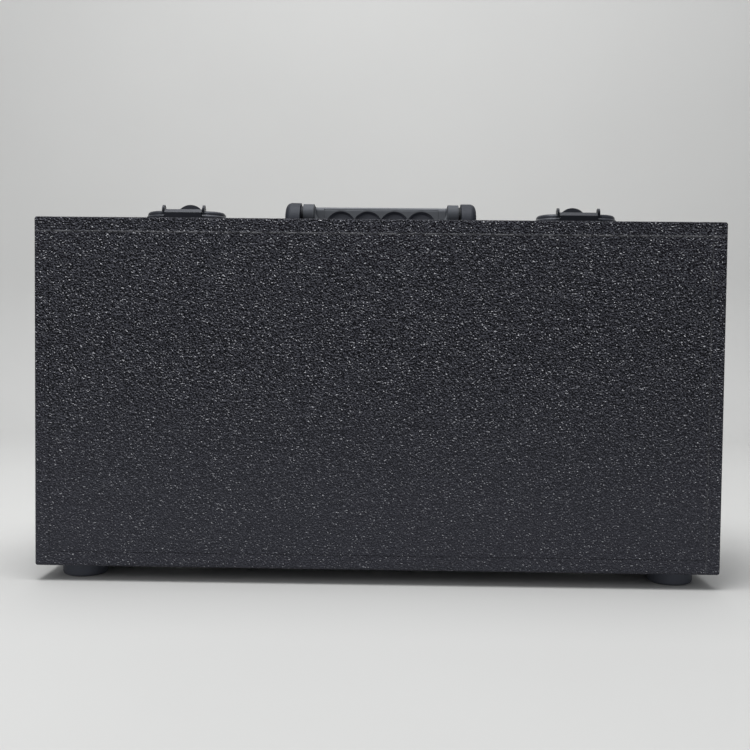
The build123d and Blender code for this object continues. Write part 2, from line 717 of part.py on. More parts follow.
def latch_lever(x):
    """The lever: a hub between the ears, two lugs that hold the claw's pin, and an arm with a thumb tab."""
    arm_z = TOP + LATCH_FLOOR + LEVER_GAP + LEVER_THICK / 2
    tab_y = PIVOT_Y + LEVER_REACH
    lug_half = CHANNEL_HALF - LATCH_PLAY
    with BuildPart() as lever:
        with BuildSketch(across(x, lug_half, PIVOT_Y, PIVOT_Z)):
            Circle(HUB_R)
        extrude(amount=2 * lug_half)
        lug_wide = lug_half - CLAW_NECK_HALF - LATCH_PLAY
        for start in (x - lug_half, x + CLAW_NECK_HALF + LATCH_PLAY):
            with BuildSketch(across(start, 0)):
                with Locations((PIVOT_Y, PIVOT_Z), (CLAW_PIN_Y, CLAW_PIN_Z)):
                    Circle(HUB_R)
                with Locations((CLAW_PIN_Y, arm_z)):
                    Rectangle(2 * HUB_R, LEVER_THICK)
                make_hull()
            extrude(amount=lug_wide)
        with BuildSketch(across(x, LEVER_ARM_HALF)):
            with BuildLine():
                Line((CLAW_PIN_Y - HUB_R + LEVER_LAP, arm_z), (tab_y - TAB_BEND, arm_z))
                RadiusArc((tab_y - TAB_BEND, arm_z), (tab_y, arm_z + TAB_BEND), -TAB_BEND)
                Line((tab_y, arm_z + TAB_BEND), (tab_y + TAB_LEAN, TOP + TAB_TOP + LEVER_THICK))
            trace(line_width=LEVER_THICK)
        extrude(amount=2 * LEVER_ARM_HALF)
        # The tab is narrower than the arm, and its top is an arc
        with BuildSketch(Plane.XZ.offset(-(tab_y - TAB_BEND))):
            with Locations((x, TOP + TAB_NECK_H + TAB_TOP)):
                Rectangle(4 * LEVER_ARM_HALF, 2 * TAB_TOP)
            with BuildLine():
                Polyline(
                    (x - TAB_HALF, TOP + TAB_SHOULDER),
                    (x - TAB_HALF, TOP),
                    (x + TAB_HALF, TOP),
                    (x + TAB_HALF, TOP + TAB_SHOULDER),
                )
                ThreePointArc(
                    (x + TAB_HALF, TOP + TAB_SHOULDER),
                    (x, TOP + TAB_TOP),
                    (x - TAB_HALF, TOP + TAB_SHOULDER),
                )
            make_face(mode=Mode.SUBTRACT)
        extrude(amount=-4 * TAB_BEND, mode=Mode.SUBTRACT)
        with BuildSketch(across(x, lug_half, PIVOT_Y, PIVOT_Z)):
            Circle(LEVER_PIN_R + PIN_PLAY)
        extrude(amount=2 * lug_half, mode=Mode.SUBTRACT)
        with BuildSketch(across(x, lug_half, CLAW_PIN_Y, CLAW_PIN_Z)):
            Circle(CLAW_PIN_R + SCREW_PLAY / 2)
        extrude(amount=2 * lug_half, mode=Mode.SUBTRACT)
    return lever


def latch_claw(x):
    """The claw: an eye on its pin, a bar over the hub from ear to ear, and a hook over the keeper."""
    neck_r = HUB_R + LATCH_PLAY + CLAW_THICK / 2
    first = radians(CLAW_BEND_FROM_DEG)
    middle = radians((CLAW_BEND_FROM_DEG + 90) / 2)
    start = (PIVOT_Y + neck_r * cos(first), PIVOT_Z + neck_r * sin(first))
    bend = (PIVOT_Y + neck_r * cos(middle), PIVOT_Z + neck_r * sin(middle))
    crown = (PIVOT_Y, PIVOT_Z + neck_r)
    wall_y = PIVOT_Y - CLAW_WALL_Y
    hook_z = TOP + CLAW_HOOK_H
    with BuildPart() as claw:
        with BuildSketch(across(x, CLAW_NECK_HALF)):
            with BuildLine():
                Line((CLAW_PIN_Y, CLAW_PIN_Z), start)
                ThreePointArc(start, bend, crown)
            trace(line_width=CLAW_THICK)
            with Locations((CLAW_PIN_Y, CLAW_PIN_Z)):
                Circle(CLAW_EYE_R)
        extrude(amount=2 * CLAW_NECK_HALF)
        with BuildSketch(across(x, CLAW_BAR_HALF)):
            with BuildLine():
                Polyline(
                    crown,
                    (wall_y + CLAW_BEVEL, crown[1]),
                    (wall_y, crown[1] - CLAW_BEVEL),
                    (wall_y, hook_z),
                )
            trace(line_width=CLAW_THICK)
        extrude(amount=2 * CLAW_BAR_HALF)
        with BuildSketch(across(x, CLAW_HOOK_HALF)):
            with BuildLine():
                Polyline((wall_y, hook_z), (CLAW_TIP_Y, hook_z), (CLAW_TIP_Y, TOP + CLAW_LIP_BOTTOM))
            trace(line_width=CLAW_THICK)
        extrude(amount=2 * CLAW_HOOK_HALF)
        with BuildSketch(across(x, CLAW_NECK_HALF, CLAW_PIN_Y, CLAW_PIN_Z)):
            Circle(CLAW_PIN_R + PIN_PLAY)
        extrude(amount=2 * CLAW_NECK_HALF, mode=Mode.SUBTRACT)
    return claw


def claw_pin(x):
    """The pin that carries the claw, held in the lever's lugs."""
    half = CHANNEL_HALF - LATCH_PLAY
    with BuildPart() as pin:
        with BuildSketch(across(x, half, CLAW_PIN_Y, CLAW_PIN_Z)):
            Circle(CLAW_PIN_R)
        extrude(amount=2 * half)
    return pin


for side, word in ((-1, "left"), (1, "right")):
    base_casting = latch_base(side * LATCH_X)
    save(base_casting.part, f"latch_base_{word}")
    lever_plate = latch_lever(side * LATCH_X)
    save(lever_plate.part, f"latch_lever_{word}")
    claw_plate = latch_claw(side * LATCH_X)
    save(claw_plate.part, f"latch_claw_{word}")
    pin_of_claw = claw_pin(side * LATCH_X)
    save(pin_of_claw.part, f"latch_claw_pin_{word}")

with BuildPart() as latch_pivot_pins:
    for side in (-1, 1):
        pin_half = CHANNEL_HALF + EAR_THICK
        with BuildSketch(across(side * LATCH_X, pin_half, PIVOT_Y, PIVOT_Z)):
            Circle(LEVER_PIN_R)
        extrude(amount=2 * pin_half)
save(latch_pivot_pins.part, "latch_pivot_pins")

with BuildPart() as latch_base_screws:
    with BuildSketch(Plane.XY.offset(TOP + LATCH_SEAT)):
        with Locations(*LATCH_SCREWS):
            Circle(SCREW_HEAD_R)
    extrude(amount=SCREW_HEAD_H)
    with BuildSketch(Plane.XY.offset(TOP + LATCH_SEAT)):
        with Locations(*LATCH_SCREWS):
            Circle(SCREW_R)
    extrude(amount=-(LATCH_SEAT + SCREW_BITE - SCREW_END_GAP))
save(latch_base_screws.part, "latch_base_screws")

# Keepers on the lid: a plate with an upstanding lip that the hook pulls on
LIP_Y0 = CLAW_TIP_Y + CLAW_THICK / 2 + LATCH_PLAY
LIP_TOP = CLAW_HOOK_H - CLAW_THICK / 2 - LATCH_PLAY
with BuildPart() as latch_keepers:
    for side in (-1, 1):
        with BuildSketch(Plane.XY.offset(TOP)):
            with Locations((side * LATCH_X, LID_BACK - (KEEPER_FRONT + KEEPER_BACK) / 2)):
                RectangleRounded(2 * KEEPER_HALF, KEEPER_FRONT - KEEPER_BACK, KEEPER_CORNER)
        extrude(amount=KEEPER_THICK)
        with BuildSketch(across(side * LATCH_X, KEEPER_LIP_HALF)):
            with BuildLine():
                Polyline(
                    (LIP_Y0 + KEEPER_LIP + GUSSET_LONG, TOP),
                    (LIP_Y0, TOP),
                    (LIP_Y0, TOP + LIP_TOP),
                    (LIP_Y0 + KEEPER_LIP, TOP + LIP_TOP),
                    (LIP_Y0 + KEEPER_LIP, TOP + KEEPER_THICK + GUSSET_HIGH),
                    (LIP_Y0 + KEEPER_LIP + GUSSET_LONG, TOP),
                )
            make_face()
        extrude(amount=2 * KEEPER_LIP_HALF)
    holes_down(KEEPER_SCREWS, TOP + KEEPER_THICK, SCREW_R + SCREW_PLAY, KEEPER_THICK)
save(latch_keepers.part, "latch_keepers")

with BuildPart() as latch_keeper_screws:
    with BuildSketch(Plane.XY.offset(TOP + KEEPER_THICK)):
        with Locations(*KEEPER_SCREWS):
            Circle(SCREW_HEAD_R)
    extrude(amount=SCREW_HEAD_H)
    with BuildSketch(Plane.XY.offset(TOP + KEEPER_THICK)):
        with Locations(*KEEPER_SCREWS):
            Circle(SCREW_R)
    extrude(amount=-(KEEPER_THICK + SCREW_BITE - SCREW_END_GAP))
save(latch_keeper_screws.part, "latch_keeper_screws")


# Folding handle
def handle_mount(side):
    """An end housing: a hump over the pivot, rounded outside, with a boss that faces the bow."""
    x0 = CAP_X0 if side > 0 else -CAP_X0 - CAP_WIDE
    half = CAP_LONG / 2
    front, rear = HANDLE_Y - half, HANDLE_Y + half
    with BuildPart() as mount:
        with BuildSketch(across(x0, 0)):
            with BuildLine():
                Polyline((front, TOP + CAP_END_H), (front, TOP), (rear, TOP), (rear, TOP + CAP_END_H))
                ThreePointArc((rear, TOP + CAP_END_H), (HANDLE_Y, TOP + CAP_H), (front, TOP + CAP_END_H))
            make_face()
        extrude(amount=CAP_WIDE)
        outer = mount.faces().filter_by(Axis.X).sort_by(Axis.X)[-1 if side > 0 else 0]
        fillet(outer.edges().filter_by(lambda e: e.center().Z > TOP + CAP_END_H), CAP_ROUND)
        boss_x = x0 - BOW_GAP + KNUCKLE_GAP if side > 0 else x0 + CAP_WIDE
        with BuildSketch(across(boss_x, 0, HANDLE_Y, HANDLE_Z)):
            Circle(CAP_BOSS_R)
        extrude(amount=BOW_GAP - KNUCKLE_GAP)
        bore_x = x0 - BOW_GAP if side > 0 else x0 + PIN_HEAD
        with BuildSketch(across(bore_x, 0, HANDLE_Y, HANDLE_Z)):
            Circle(HANDLE_PIN_R + SCREW_PLAY / 2)
        extrude(amount=CAP_WIDE - PIN_HEAD + BOW_GAP, mode=Mode.SUBTRACT)
        own = [point for point in CAP_SCREWS if point[0] * side > 0]
        holes_up(own, TOP, BIG_SCREW_R + SCREW_PLAY, CAP_BITE + SCREW_END_GAP)
    return mount


for side, word in ((-1, "left"), (1, "right")):
    end_housing = handle_mount(side)
    save(end_housing.part, f"handle_mount_{word}")

# The mounts are held by screws from inside the case
with BuildPart() as handle_mount_screws:
    with BuildSketch(Plane.XY.offset(TOP - WALL)):
        with Locations(*CAP_SCREWS):
            Circle(BIG_HEAD_R)
    extrude(amount=-BIG_HEAD_H)
    with BuildSketch(Plane.XY.offset(TOP - WALL)):
        with Locations(*CAP_SCREWS):
            Circle(BIG_SCREW_R)
    extrude(amount=WALL + CAP_BITE)
save(handle_mount_screws.part, "handle_mount_screws")

with BuildPart() as handle_pins:
    for side in (-1, 1):
        pin_long = CAP_WIDE - PIN_HEAD + BOW_GAP + LEG_WIDE - KNUCKLE_GAP
        pin_x = BOW_IN + KNUCKLE_GAP if side > 0 else -BOW_IN - KNUCKLE_GAP - pin_long
        with BuildSketch(across(pin_x, 0, HANDLE_Y, HANDLE_Z)):
            Circle(HANDLE_PIN_R)
        extrude(amount=pin_long)
save(handle_pins.part, "handle_pins")

# The bow: two legs with round hubs, a flare from each leg to the grip's end, and a core bar
with BuildPart() as handle_bow:
    for side in (-1, 1):
        leg_x = BOW_IN if side > 0 else -BOW_OUT
        with BuildSketch(across(leg_x, 0)):
            with Locations((HANDLE_Y, HANDLE_Z)):
                Circle(HUB_BOW_R)
            with Locations((GRIP_Y, GRIP_Z)):
                RectangleRounded(GRIP_DEEP, GRIP_TOP - GRIP_BOTTOM, GRIP_ROUND)
            make_hull()
        extrude(amount=LEG_WIDE)
        end_x = GRIP_HALF if side > 0 else -BOW_IN
        with BuildSketch(across(end_x, 0)):
            with Locations((GRIP_Y, GRIP_Z)):
                RectangleRounded(GRIP_DEEP, GRIP_TOP - GRIP_BOTTOM, GRIP_ROUND)
        extrude(amount=BOW_IN - GRIP_HALF)
        flare_top = TOP + GRIP_TOP - FLARE_DROP
        flare_low = TOP + GRIP_BOTTOM
        flare_bend = flare_low + FLARE_BEND_Z * (flare_top - flare_low)
        with BuildSketch(Plane.XZ.offset(-(HANDLE_Y + FLARE_START))):
            with BuildLine():
                Polyline(
                    (side * (BOW_IN - FLARE_WIDE), flare_low),
                    (side * (BOW_IN + FLARE_LAP), flare_low),
                    (side * (BOW_IN + FLARE_LAP), flare_top),
                    (side * BOW_IN, flare_top),
                )
                ThreePointArc(
                    (side * BOW_IN, flare_top),
                    (side * (BOW_IN - FLARE_WIDE * FLARE_BEND_X), flare_bend),
                    (side * (BOW_IN - FLARE_WIDE), flare_low),
                )
            make_face()
        extrude(amount=-(GRIP_REACH - FLARE_START + FLARE_LAP))
        flare_front = handle_bow.faces().filter_by(Axis.Y).filter_by(
            lambda f: abs(f.center().Y - HANDLE_Y - FLARE_START) < FLARE_LAP and f.center().X * side > 0
        )
        curve = flare_front.edges().filter_by(GeomType.CIRCLE)
        chamfer(curve, FLARE_BEVEL)
        with BuildSketch(across(leg_x, 0, HANDLE_Y, HANDLE_Z)):
            Circle(HANDLE_PIN_R + PIN_PLAY)
        extrude(amount=LEG_WIDE, mode=Mode.SUBTRACT)
    with BuildSketch(across(0, BOW_IN)):
        with Locations((GRIP_Y, GRIP_Z)):
            Rectangle(CORE_DEEP, CORE_HIGH)
    extrude(amount=2 * BOW_IN)
save(handle_bow.part, "handle_bow")

# The grip is a moulded sleeve over the core bar, with a scoop for each finger
with BuildPart() as handle_grip:
    grip_half = GRIP_HALF - GRIP_JOINT
    with BuildSketch(across(0, grip_half)):
        with Locations((GRIP_Y, GRIP_Z)):
            RectangleRounded(GRIP_DEEP, GRIP_TOP - GRIP_BOTTOM, GRIP_ROUND)
            Rectangle(CORE_DEEP + 2 * CORE_PLAY, CORE_HIGH + 2 * CORE_PLAY, mode=Mode.SUBTRACT)
    extrude(amount=2 * grip_half)
    scoop_z = TOP + SCALLOP_TOP - SCALLOP_R
    centres = [((i - (SCALLOPS - 1) / 2) * SCALLOP_PITCH, scoop_z) for i in range(SCALLOPS)]
    with BuildSketch(Plane.XZ.offset(-GRIP_Y0 - RIM_PROUD)):
        with Locations(*centres):
            Circle(SCALLOP_R + RIM_WIDE)
        with Locations((0, GRIP_Z)):
            Rectangle(2 * grip_half, GRIP_TOP - GRIP_BOTTOM - GRIP_ROUND, mode=Mode.INTERSECT)
    extrude(amount=2 * RIM_PROUD)
    for centre in centres:
        with BuildSketch(Plane.XZ.offset(-GRIP_Y0 + RIM_PROUD)):
            with Locations(centre):
                Circle(SCALLOP_R)
        extrude(amount=-(SCALLOP_CUT + RIM_PROUD), taper=SCALLOP_TAPER, mode=Mode.SUBTRACT)
    with BuildSketch(Plane.XZ.offset(-GRIP_Y0 + RIM_PROUD)):
        with Locations((0, TOP + GRIP_LINE_Z)):
            Rectangle(2 * GRIP_HALF, GRIP_LINE)
    extrude(amount=-(GRIP_LINE_DEEP + RIM_PROUD), mode=Mode.SUBTRACT)
save(handle_grip.part, "handle_grip")


# Bus boards, one behind each row, on standoffs
def board_plane(y):
    """A plane at a depth whose sketch reads (X, Z) and whose normal points to the lid."""
    return Plane.XZ.offset(-y)


BUS_POSTS = [
    (BUS_X + a * (BUS_LONG / 2 - BUS_INSET_X), z + b * (BUS_HIGH / 2 - BUS_INSET_Z))
    for z in ROW_Z.values()
    for a in (-1, 0, 1)
    for b in (-1, 1)
]
SUPPLY_POSTS = [
    (SUPPLY_X + a * (SUPPLY_LONG / 2 - SUPPLY_INSET), MIDDLE_Z + b * (SUPPLY_HIGH / 2 - SUPPLY_INSET))
    for a in (-1, 1)
    for b in (-1, 1)
]
for row, z in ROW_Z.items():
    with BuildPart() as bus_board:
        with BuildSketch(board_plane(BOARD_BACK)):
            with Locations((BUS_X, z)):
                RectangleRounded(BUS_LONG, BUS_HIGH, BOARD_CORNER)
            with Locations(*[post for post in BUS_POSTS if abs(post[1] - z) < BUS_HIGH]):
                Circle(STUD_R + SCREW_PLAY, mode=Mode.SUBTRACT)
        extrude(amount=BOARD_THICK)
    save(bus_board.part, f"bus_board_{row}")

with BuildPart() as bus_headers:
    first = BUS_X - (BUS_HEADERS - 1) * BUS_HEADER_STEP / 2
    with BuildSketch(board_plane(BOARD_FACE)):
        for z in ROW_Z.values():
            with Locations(*[(first + i * BUS_HEADER_STEP, z) for i in range(BUS_HEADERS)]):
                Rectangle(HEADER_LONG, HEADER_DEEP)
    extrude(amount=HEADER_H)
save(bus_headers.part, "bus_headers")

with BuildPart() as board_standoffs:
    with BuildSketch(board_plane(BACK_IN)):
        with Locations(*BUS_POSTS, *SUPPLY_POSTS):
            RegularPolygon(STANDOFF_R, 6)
    extrude(amount=STANDOFF_H)
    with BuildSketch(board_plane(BOARD_BACK)):
        with Locations(*BUS_POSTS, *SUPPLY_POSTS):
            Circle(STUD_R)
    extrude(amount=BOARD_THICK + STUD_PROUD)
save(board_standoffs.part, "board_standoffs")

# Supply board with its heat sink and its capacitors
with BuildPart() as supply_board:
    with BuildSketch(board_plane(BOARD_BACK)):
        with Locations((SUPPLY_X, MIDDLE_Z)):
            RectangleRounded(SUPPLY_LONG, SUPPLY_HIGH, BOARD_CORNER)
        with Locations(*SUPPLY_POSTS):
            Circle(STUD_R + SCREW_PLAY, mode=Mode.SUBTRACT)
    extrude(amount=BOARD_THICK)
save(supply_board.part, "supply_board")

SINK_Z = MIDDLE_Z + SINK_UP
with BuildPart() as supply_heat_sink:
    with BuildSketch(board_plane(BOARD_FACE)):
        with Locations((SUPPLY_X, SINK_Z)):
            Rectangle(SINK_LONG, SINK_HIGH)
    extrude(amount=SINK_BASE)
    with BuildSketch(board_plane(BOARD_FACE - SINK_BASE)):
        step = (SINK_LONG - SINK_FIN) / (SINK_FINS - 1)
        for i in range(SINK_FINS):
            with Locations((SUPPLY_X + (i - (SINK_FINS - 1) / 2) * step, SINK_Z)):
                Rectangle(SINK_FIN, SINK_HIGH)
    extrude(amount=SINK_DEEP - SINK_BASE)
save(supply_heat_sink.part, "supply_heat_sink")

with BuildPart() as supply_capacitors:
    with BuildSketch(board_plane(BOARD_FACE)):
        with Locations((SUPPLY_X, MIDDLE_Z - CAP_CAN_DOWN)):
            with GridLocations(CAP_CAN_STEP, CAP_CAN_STEP, CAP_CANS, 1):
                Circle(CAP_CAN_R)
    extrude(amount=CAP_CAN_H)
save(supply_capacitors.part, "supply_capacitors")

# Inlet plate, sunk in the right wall, with the power jack and the switch
PLATE_FACE = SIDE - PLATE_SUNK
PLATE_SCREWS = [(PLATE_Y + s * PLATE_SCREW_Y, PLATE_Z) for s in (-1, 1)]


def side_plane(x):
    """A plane at a width whose sketch reads (Y, Z) and whose normal points out to the right."""
    return Plane.YZ.offset(x)


with BuildPart() as inlet_plate:
    with BuildSketch(side_plane(PLATE_FACE)):
        with Locations((PLATE_Y, PLATE_Z)):
            RectangleRounded(PLATE_LONG, PLATE_HIGH, PLATE_CORNER)
        with Locations(*PLATE_SCREWS):
            Circle(SCREW_R + SCREW_PLAY, mode=Mode.SUBTRACT)
        with Locations((PLATE_Y + JACK_Y, PLATE_Z)):
            Circle(JACK_R + SCREW_PLAY, mode=Mode.SUBTRACT)
        with Locations((PLATE_Y + SWITCH_Y, PLATE_Z)):
            Rectangle(SWITCH_LONG - 2 * SWITCH_RIM, SWITCH_HIGH - 2 * SWITCH_RIM, mode=Mode.SUBTRACT)
    extrude(amount=-PLATE_THICK)
save(inlet_plate.part, "inlet_plate")

with BuildPart() as inlet_plate_screws:
    with BuildSketch(side_plane(PLATE_FACE)):
        with Locations(*PLATE_SCREWS):
            Circle(SCREW_HEAD_R)
    extrude(amount=SCREW_HEAD_H)
    with BuildSketch(side_plane(PLATE_FACE)):
        with Locations(*PLATE_SCREWS):
            Circle(SCREW_R)
    extrude(amount=-(WALL - PLATE_SUNK))
save(inlet_plate_screws.part, "inlet_plate_screws")

with BuildPart() as power_jack:
    with BuildSketch(side_plane(PLATE_FACE)):
        with Locations((PLATE_Y + JACK_Y, PLATE_Z)):
            Circle(JACK_FLANGE_R)
    extrude(amount=JACK_FLANGE)
    with BuildSketch(side_plane(PLATE_FACE)):
        with Locations((PLATE_Y + JACK_Y, PLATE_Z)):
            Circle(JACK_R)
    extrude(amount=-JACK_LONG)
    with BuildSketch(side_plane(PLATE_FACE + JACK_FLANGE)):
        with Locations((PLATE_Y + JACK_Y, PLATE_Z)):
            Circle(JACK_HOLE_R)
    extrude(amount=-JACK_DEEP, mode=Mode.SUBTRACT)
    with BuildSketch(side_plane(PLATE_FACE + JACK_FLANGE - JACK_DEEP)):
        with Locations((PLATE_Y + JACK_Y, PLATE_Z)):
            Circle(JACK_PIN_R)
    extrude(amount=JACK_DEEP - JACK_PIN_BACK)
save(power_jack.part, "power_jack")

with BuildPart() as power_jack_nut:
    with BuildSketch(side_plane(PLATE_FACE - PLATE_THICK)):
        with Locations((PLATE_Y + JACK_Y, PLATE_Z)):
            RegularPolygon(NUT_ACROSS / 2, 6, major_radius=False)
            Circle(JACK_R + SCREW_PLAY, mode=Mode.SUBTRACT)
    extrude(amount=-NUT_H)
save(power_jack_nut.part, "power_jack_nut")

ROCKER_X = PLATE_FACE + SWITCH_FLANGE
with BuildPart() as switch_housing:
    neck = SWITCH_RIM + SCREW_PLAY
    with BuildSketch(side_plane(PLATE_FACE)):
        with Locations((PLATE_Y + SWITCH_Y, PLATE_Z)):
            RectangleRounded(SWITCH_LONG, SWITCH_HIGH, SWITCH_CORNER)
    extrude(amount=SWITCH_FLANGE)
    with BuildSketch(side_plane(PLATE_FACE)):
        with Locations((PLATE_Y + SWITCH_Y, PLATE_Z)):
            Rectangle(SWITCH_LONG - 2 * neck, SWITCH_HIGH - 2 * neck)
    extrude(amount=-SWITCH_DEEP)
    with BuildSketch(side_plane(ROCKER_X)):
        with Locations((PLATE_Y + SWITCH_Y, PLATE_Z)):
            Rectangle(SWITCH_WELL_LONG, SWITCH_WELL_HIGH)
    extrude(amount=-SWITCH_WELL, mode=Mode.SUBTRACT)
    with BuildSketch(Plane.XY.offset(PLATE_Z - SWITCH_WELL_HIGH / 2 - ROCKER_STUB)):
        with Locations((ROCKER_X - ROCKER_AXIS, PLATE_Y + SWITCH_Y)):
            Circle(ROCKER_STUB_R + PIN_PLAY)
    extrude(amount=SWITCH_WELL_HIGH + 2 * ROCKER_STUB, mode=Mode.SUBTRACT)
save(switch_housing.part, "switch_housing")

# The rocker tilts about a vertical axle and rests with its rear half pressed in
rocker_plane = Plane(
    origin=(ROCKER_X - ROCKER_AXIS, PLATE_Y + SWITCH_Y, PLATE_Z - SWITCH_WELL_HIGH / 2 + ROCKER_PLAY),
    x_dir=(-sin(radians(ROCKER_TILT)), cos(radians(ROCKER_TILT)), 0),
    z_dir=(0, 0, 1),
)
with BuildPart() as switch_rocker:
    with BuildSketch(rocker_plane):
        with BuildLine():
            half = ROCKER_LONG / 2
            Polyline((-half, -ROCKER_AXIS + ROCKER_END), (0, -ROCKER_AXIS), (half, -ROCKER_AXIS + ROCKER_END))
            Polyline(
                (half, -ROCKER_AXIS + ROCKER_END),
                (half * ROCKER_FOOT, ROCKER_BELOW),
                (-half * ROCKER_FOOT, ROCKER_BELOW),
                (-half, -ROCKER_AXIS + ROCKER_END),
            )
        make_face()
    extrude(amount=SWITCH_WELL_HIGH - 2 * ROCKER_PLAY)
    with BuildSketch(Plane.XY.offset(PLATE_Z - SWITCH_WELL_HIGH / 2 - ROCKER_STUB + ROCKER_PLAY)):
        with Locations((ROCKER_X - ROCKER_AXIS, PLATE_Y + SWITCH_Y)):
            Circle(ROCKER_STUB_R)
    extrude(amount=SWITCH_WELL_HIGH + 2 * ROCKER_STUB - 2 * ROCKER_PLAY)
save(switch_rocker.part, "switch_rocker")
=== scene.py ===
import json
from math import cos, pi, radians, sin

import bpy
from mathutils import Matrix, Vector


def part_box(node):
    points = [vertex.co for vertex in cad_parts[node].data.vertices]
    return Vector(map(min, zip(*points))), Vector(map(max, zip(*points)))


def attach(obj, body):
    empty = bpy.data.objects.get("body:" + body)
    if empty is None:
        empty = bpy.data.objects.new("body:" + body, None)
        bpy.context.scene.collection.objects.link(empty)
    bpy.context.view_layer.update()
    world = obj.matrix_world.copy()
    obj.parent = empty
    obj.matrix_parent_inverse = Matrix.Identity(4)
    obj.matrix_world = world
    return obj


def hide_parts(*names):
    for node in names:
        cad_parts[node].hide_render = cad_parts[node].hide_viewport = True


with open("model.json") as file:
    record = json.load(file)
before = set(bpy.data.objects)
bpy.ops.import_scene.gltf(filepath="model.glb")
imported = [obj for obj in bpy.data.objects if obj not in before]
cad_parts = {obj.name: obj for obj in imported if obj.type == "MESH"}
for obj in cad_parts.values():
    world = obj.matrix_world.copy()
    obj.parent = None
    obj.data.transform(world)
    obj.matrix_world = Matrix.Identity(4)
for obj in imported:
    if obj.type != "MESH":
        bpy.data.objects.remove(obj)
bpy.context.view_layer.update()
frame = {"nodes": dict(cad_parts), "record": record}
nodes = frame["nodes"]

MM = 0.001

# Faces and pieces of the case, in millimetres, as the case is built. X runs to its right, Y to its
# back and Z up.
TOP, WALL = 304.5, 12.0
FRONT_FACE = -85.0
PANEL_TOP, PANEL_RIGHT = 292.5, 273.76
CAP_X0, BOW_GAP = 73.0, 2.3
GRIP_HALF, GRIP_Y0 = 60.0, 29.0
SCOOPS_HALF, SCOOP_DEEP, SCOOP_LOW, SCOOP_HIGH = 51.0, 5.2, 4.3, 20.1
LATCH_X, LATCH_Y = 175.0, -4.8
ROWS = (92.075, 225.425)
RAIL_LEVELS = (30.825, 153.325, 164.175, 286.675)
STRIP_Y = -14.15

# The seats of the screws. Those of a latch and of its keeper are counted from the latch.
BASE_SCREW_X, BASE_SCREW_Y, BASE_SEAT = 25.0, 7.5, 4.0
KEEPER_SCREW_X, KEEPER_Y, KEEPER_THICK = 19.0, -38.9, 1.8
MOUNT_X, MOUNT_Y, MOUNT_SCREW_Y = 79.7, 17.0, 10.0
FOOT_X, FOOT_Y, FOOT_SEAT = 252.76, 52.0, 5.0
HINGE_X, HINGE_SCREW_X, HINGE_SEAT = 185.0, 21.0, 12.5
LID_LEAF_Y, BODY_LEAF_Y = -38.85, -10.85
INLET_SCREW_Y, INLET_Z = 32.0, 61.0

# Rows of headers on the bus boards, and of cans on the supply board
HEADERS, HEADER_PITCH, HEADER_X = 7, 48.0, -70.0
CANS, CAN_PITCH, CAN_X, CAN_Z = 4, 20.0, 190.0, 128.75

# Where the wings of a latch begin, where its tab rises into view, and how the tab's ribs stand
WING_X = 20.0
TAB_FOOT, TAB_HALF = 16.6, 15.0
RIB_FOOT, RIB_SINK = 11.0, 0.3


class Wire:
    """A node's output. Sums and comparisons with it add Math nodes."""

    def __init__(self, bench, socket):
        self.bench, self.socket = bench, socket

    def joined(self, operation, *terms):
        return self.bench.node("ShaderNodeMath", {"operation": operation}, dict(enumerate(terms)))

    def __add__(self, other):
        return self.joined("ADD", self, other)

    def __radd__(self, other):
        return self.joined("ADD", other, self)

    def __sub__(self, other):
        return self.joined("SUBTRACT", self, other)

    def __rsub__(self, other):
        return self.joined("SUBTRACT", other, self)

    def __mul__(self, other):
        return self.joined("MULTIPLY", self, other)

    def __rmul__(self, other):
        return self.joined("MULTIPLY", other, self)

    def __truediv__(self, other):
        return self.joined("DIVIDE", self, other)

    def __rtruediv__(self, other):
        return self.joined("DIVIDE", other, self)

    def __mod__(self, other):
        return self.joined("FLOORED_MODULO", self, other)

    def __rmod__(self, other):
        return self.joined("FLOORED_MODULO", other, self)

    def __gt__(self, other):
        return self.joined("GREATER_THAN", self, other)

    def __lt__(self, other):
        return self.joined("LESS_THAN", self, other)

    def __abs__(self):
        return self.joined("ABSOLUTE", self)


class Bench:
    """A node tree and the one way that nodes are put into it."""

    def __init__(self, tree):
        self.tree = tree

    def node(self, kind, settings=None, inputs=None, output=0):
        made = self.tree.nodes.new(kind)
        for name, value in (settings or {}).items():
            if name == "stops":
                ramp = made.color_ramp
                while len(ramp.elements) < len(value):
                    ramp.elements.new(0.5)
                for element, (place, colour) in zip(ramp.elements, value):
                    element.position, element.color = place, (*colour, 1)
            else:
                setattr(made, name, value)
        for name, value in (inputs or {}).items():
            self.feed(made.inputs[name], value)
        return Wire(self, made.outputs[output]) if made.outputs else None

    def feed(self, socket, value):
        if isinstance(value, list):
            for wire in value:
                self.feed(socket, wire)
        elif isinstance(value, Wire):
            self.tree.links.new(value.socket, socket)
        elif socket.type == "RGBA":
            socket.default_value = (*value, 1)
        else:
            socket.default_value = value


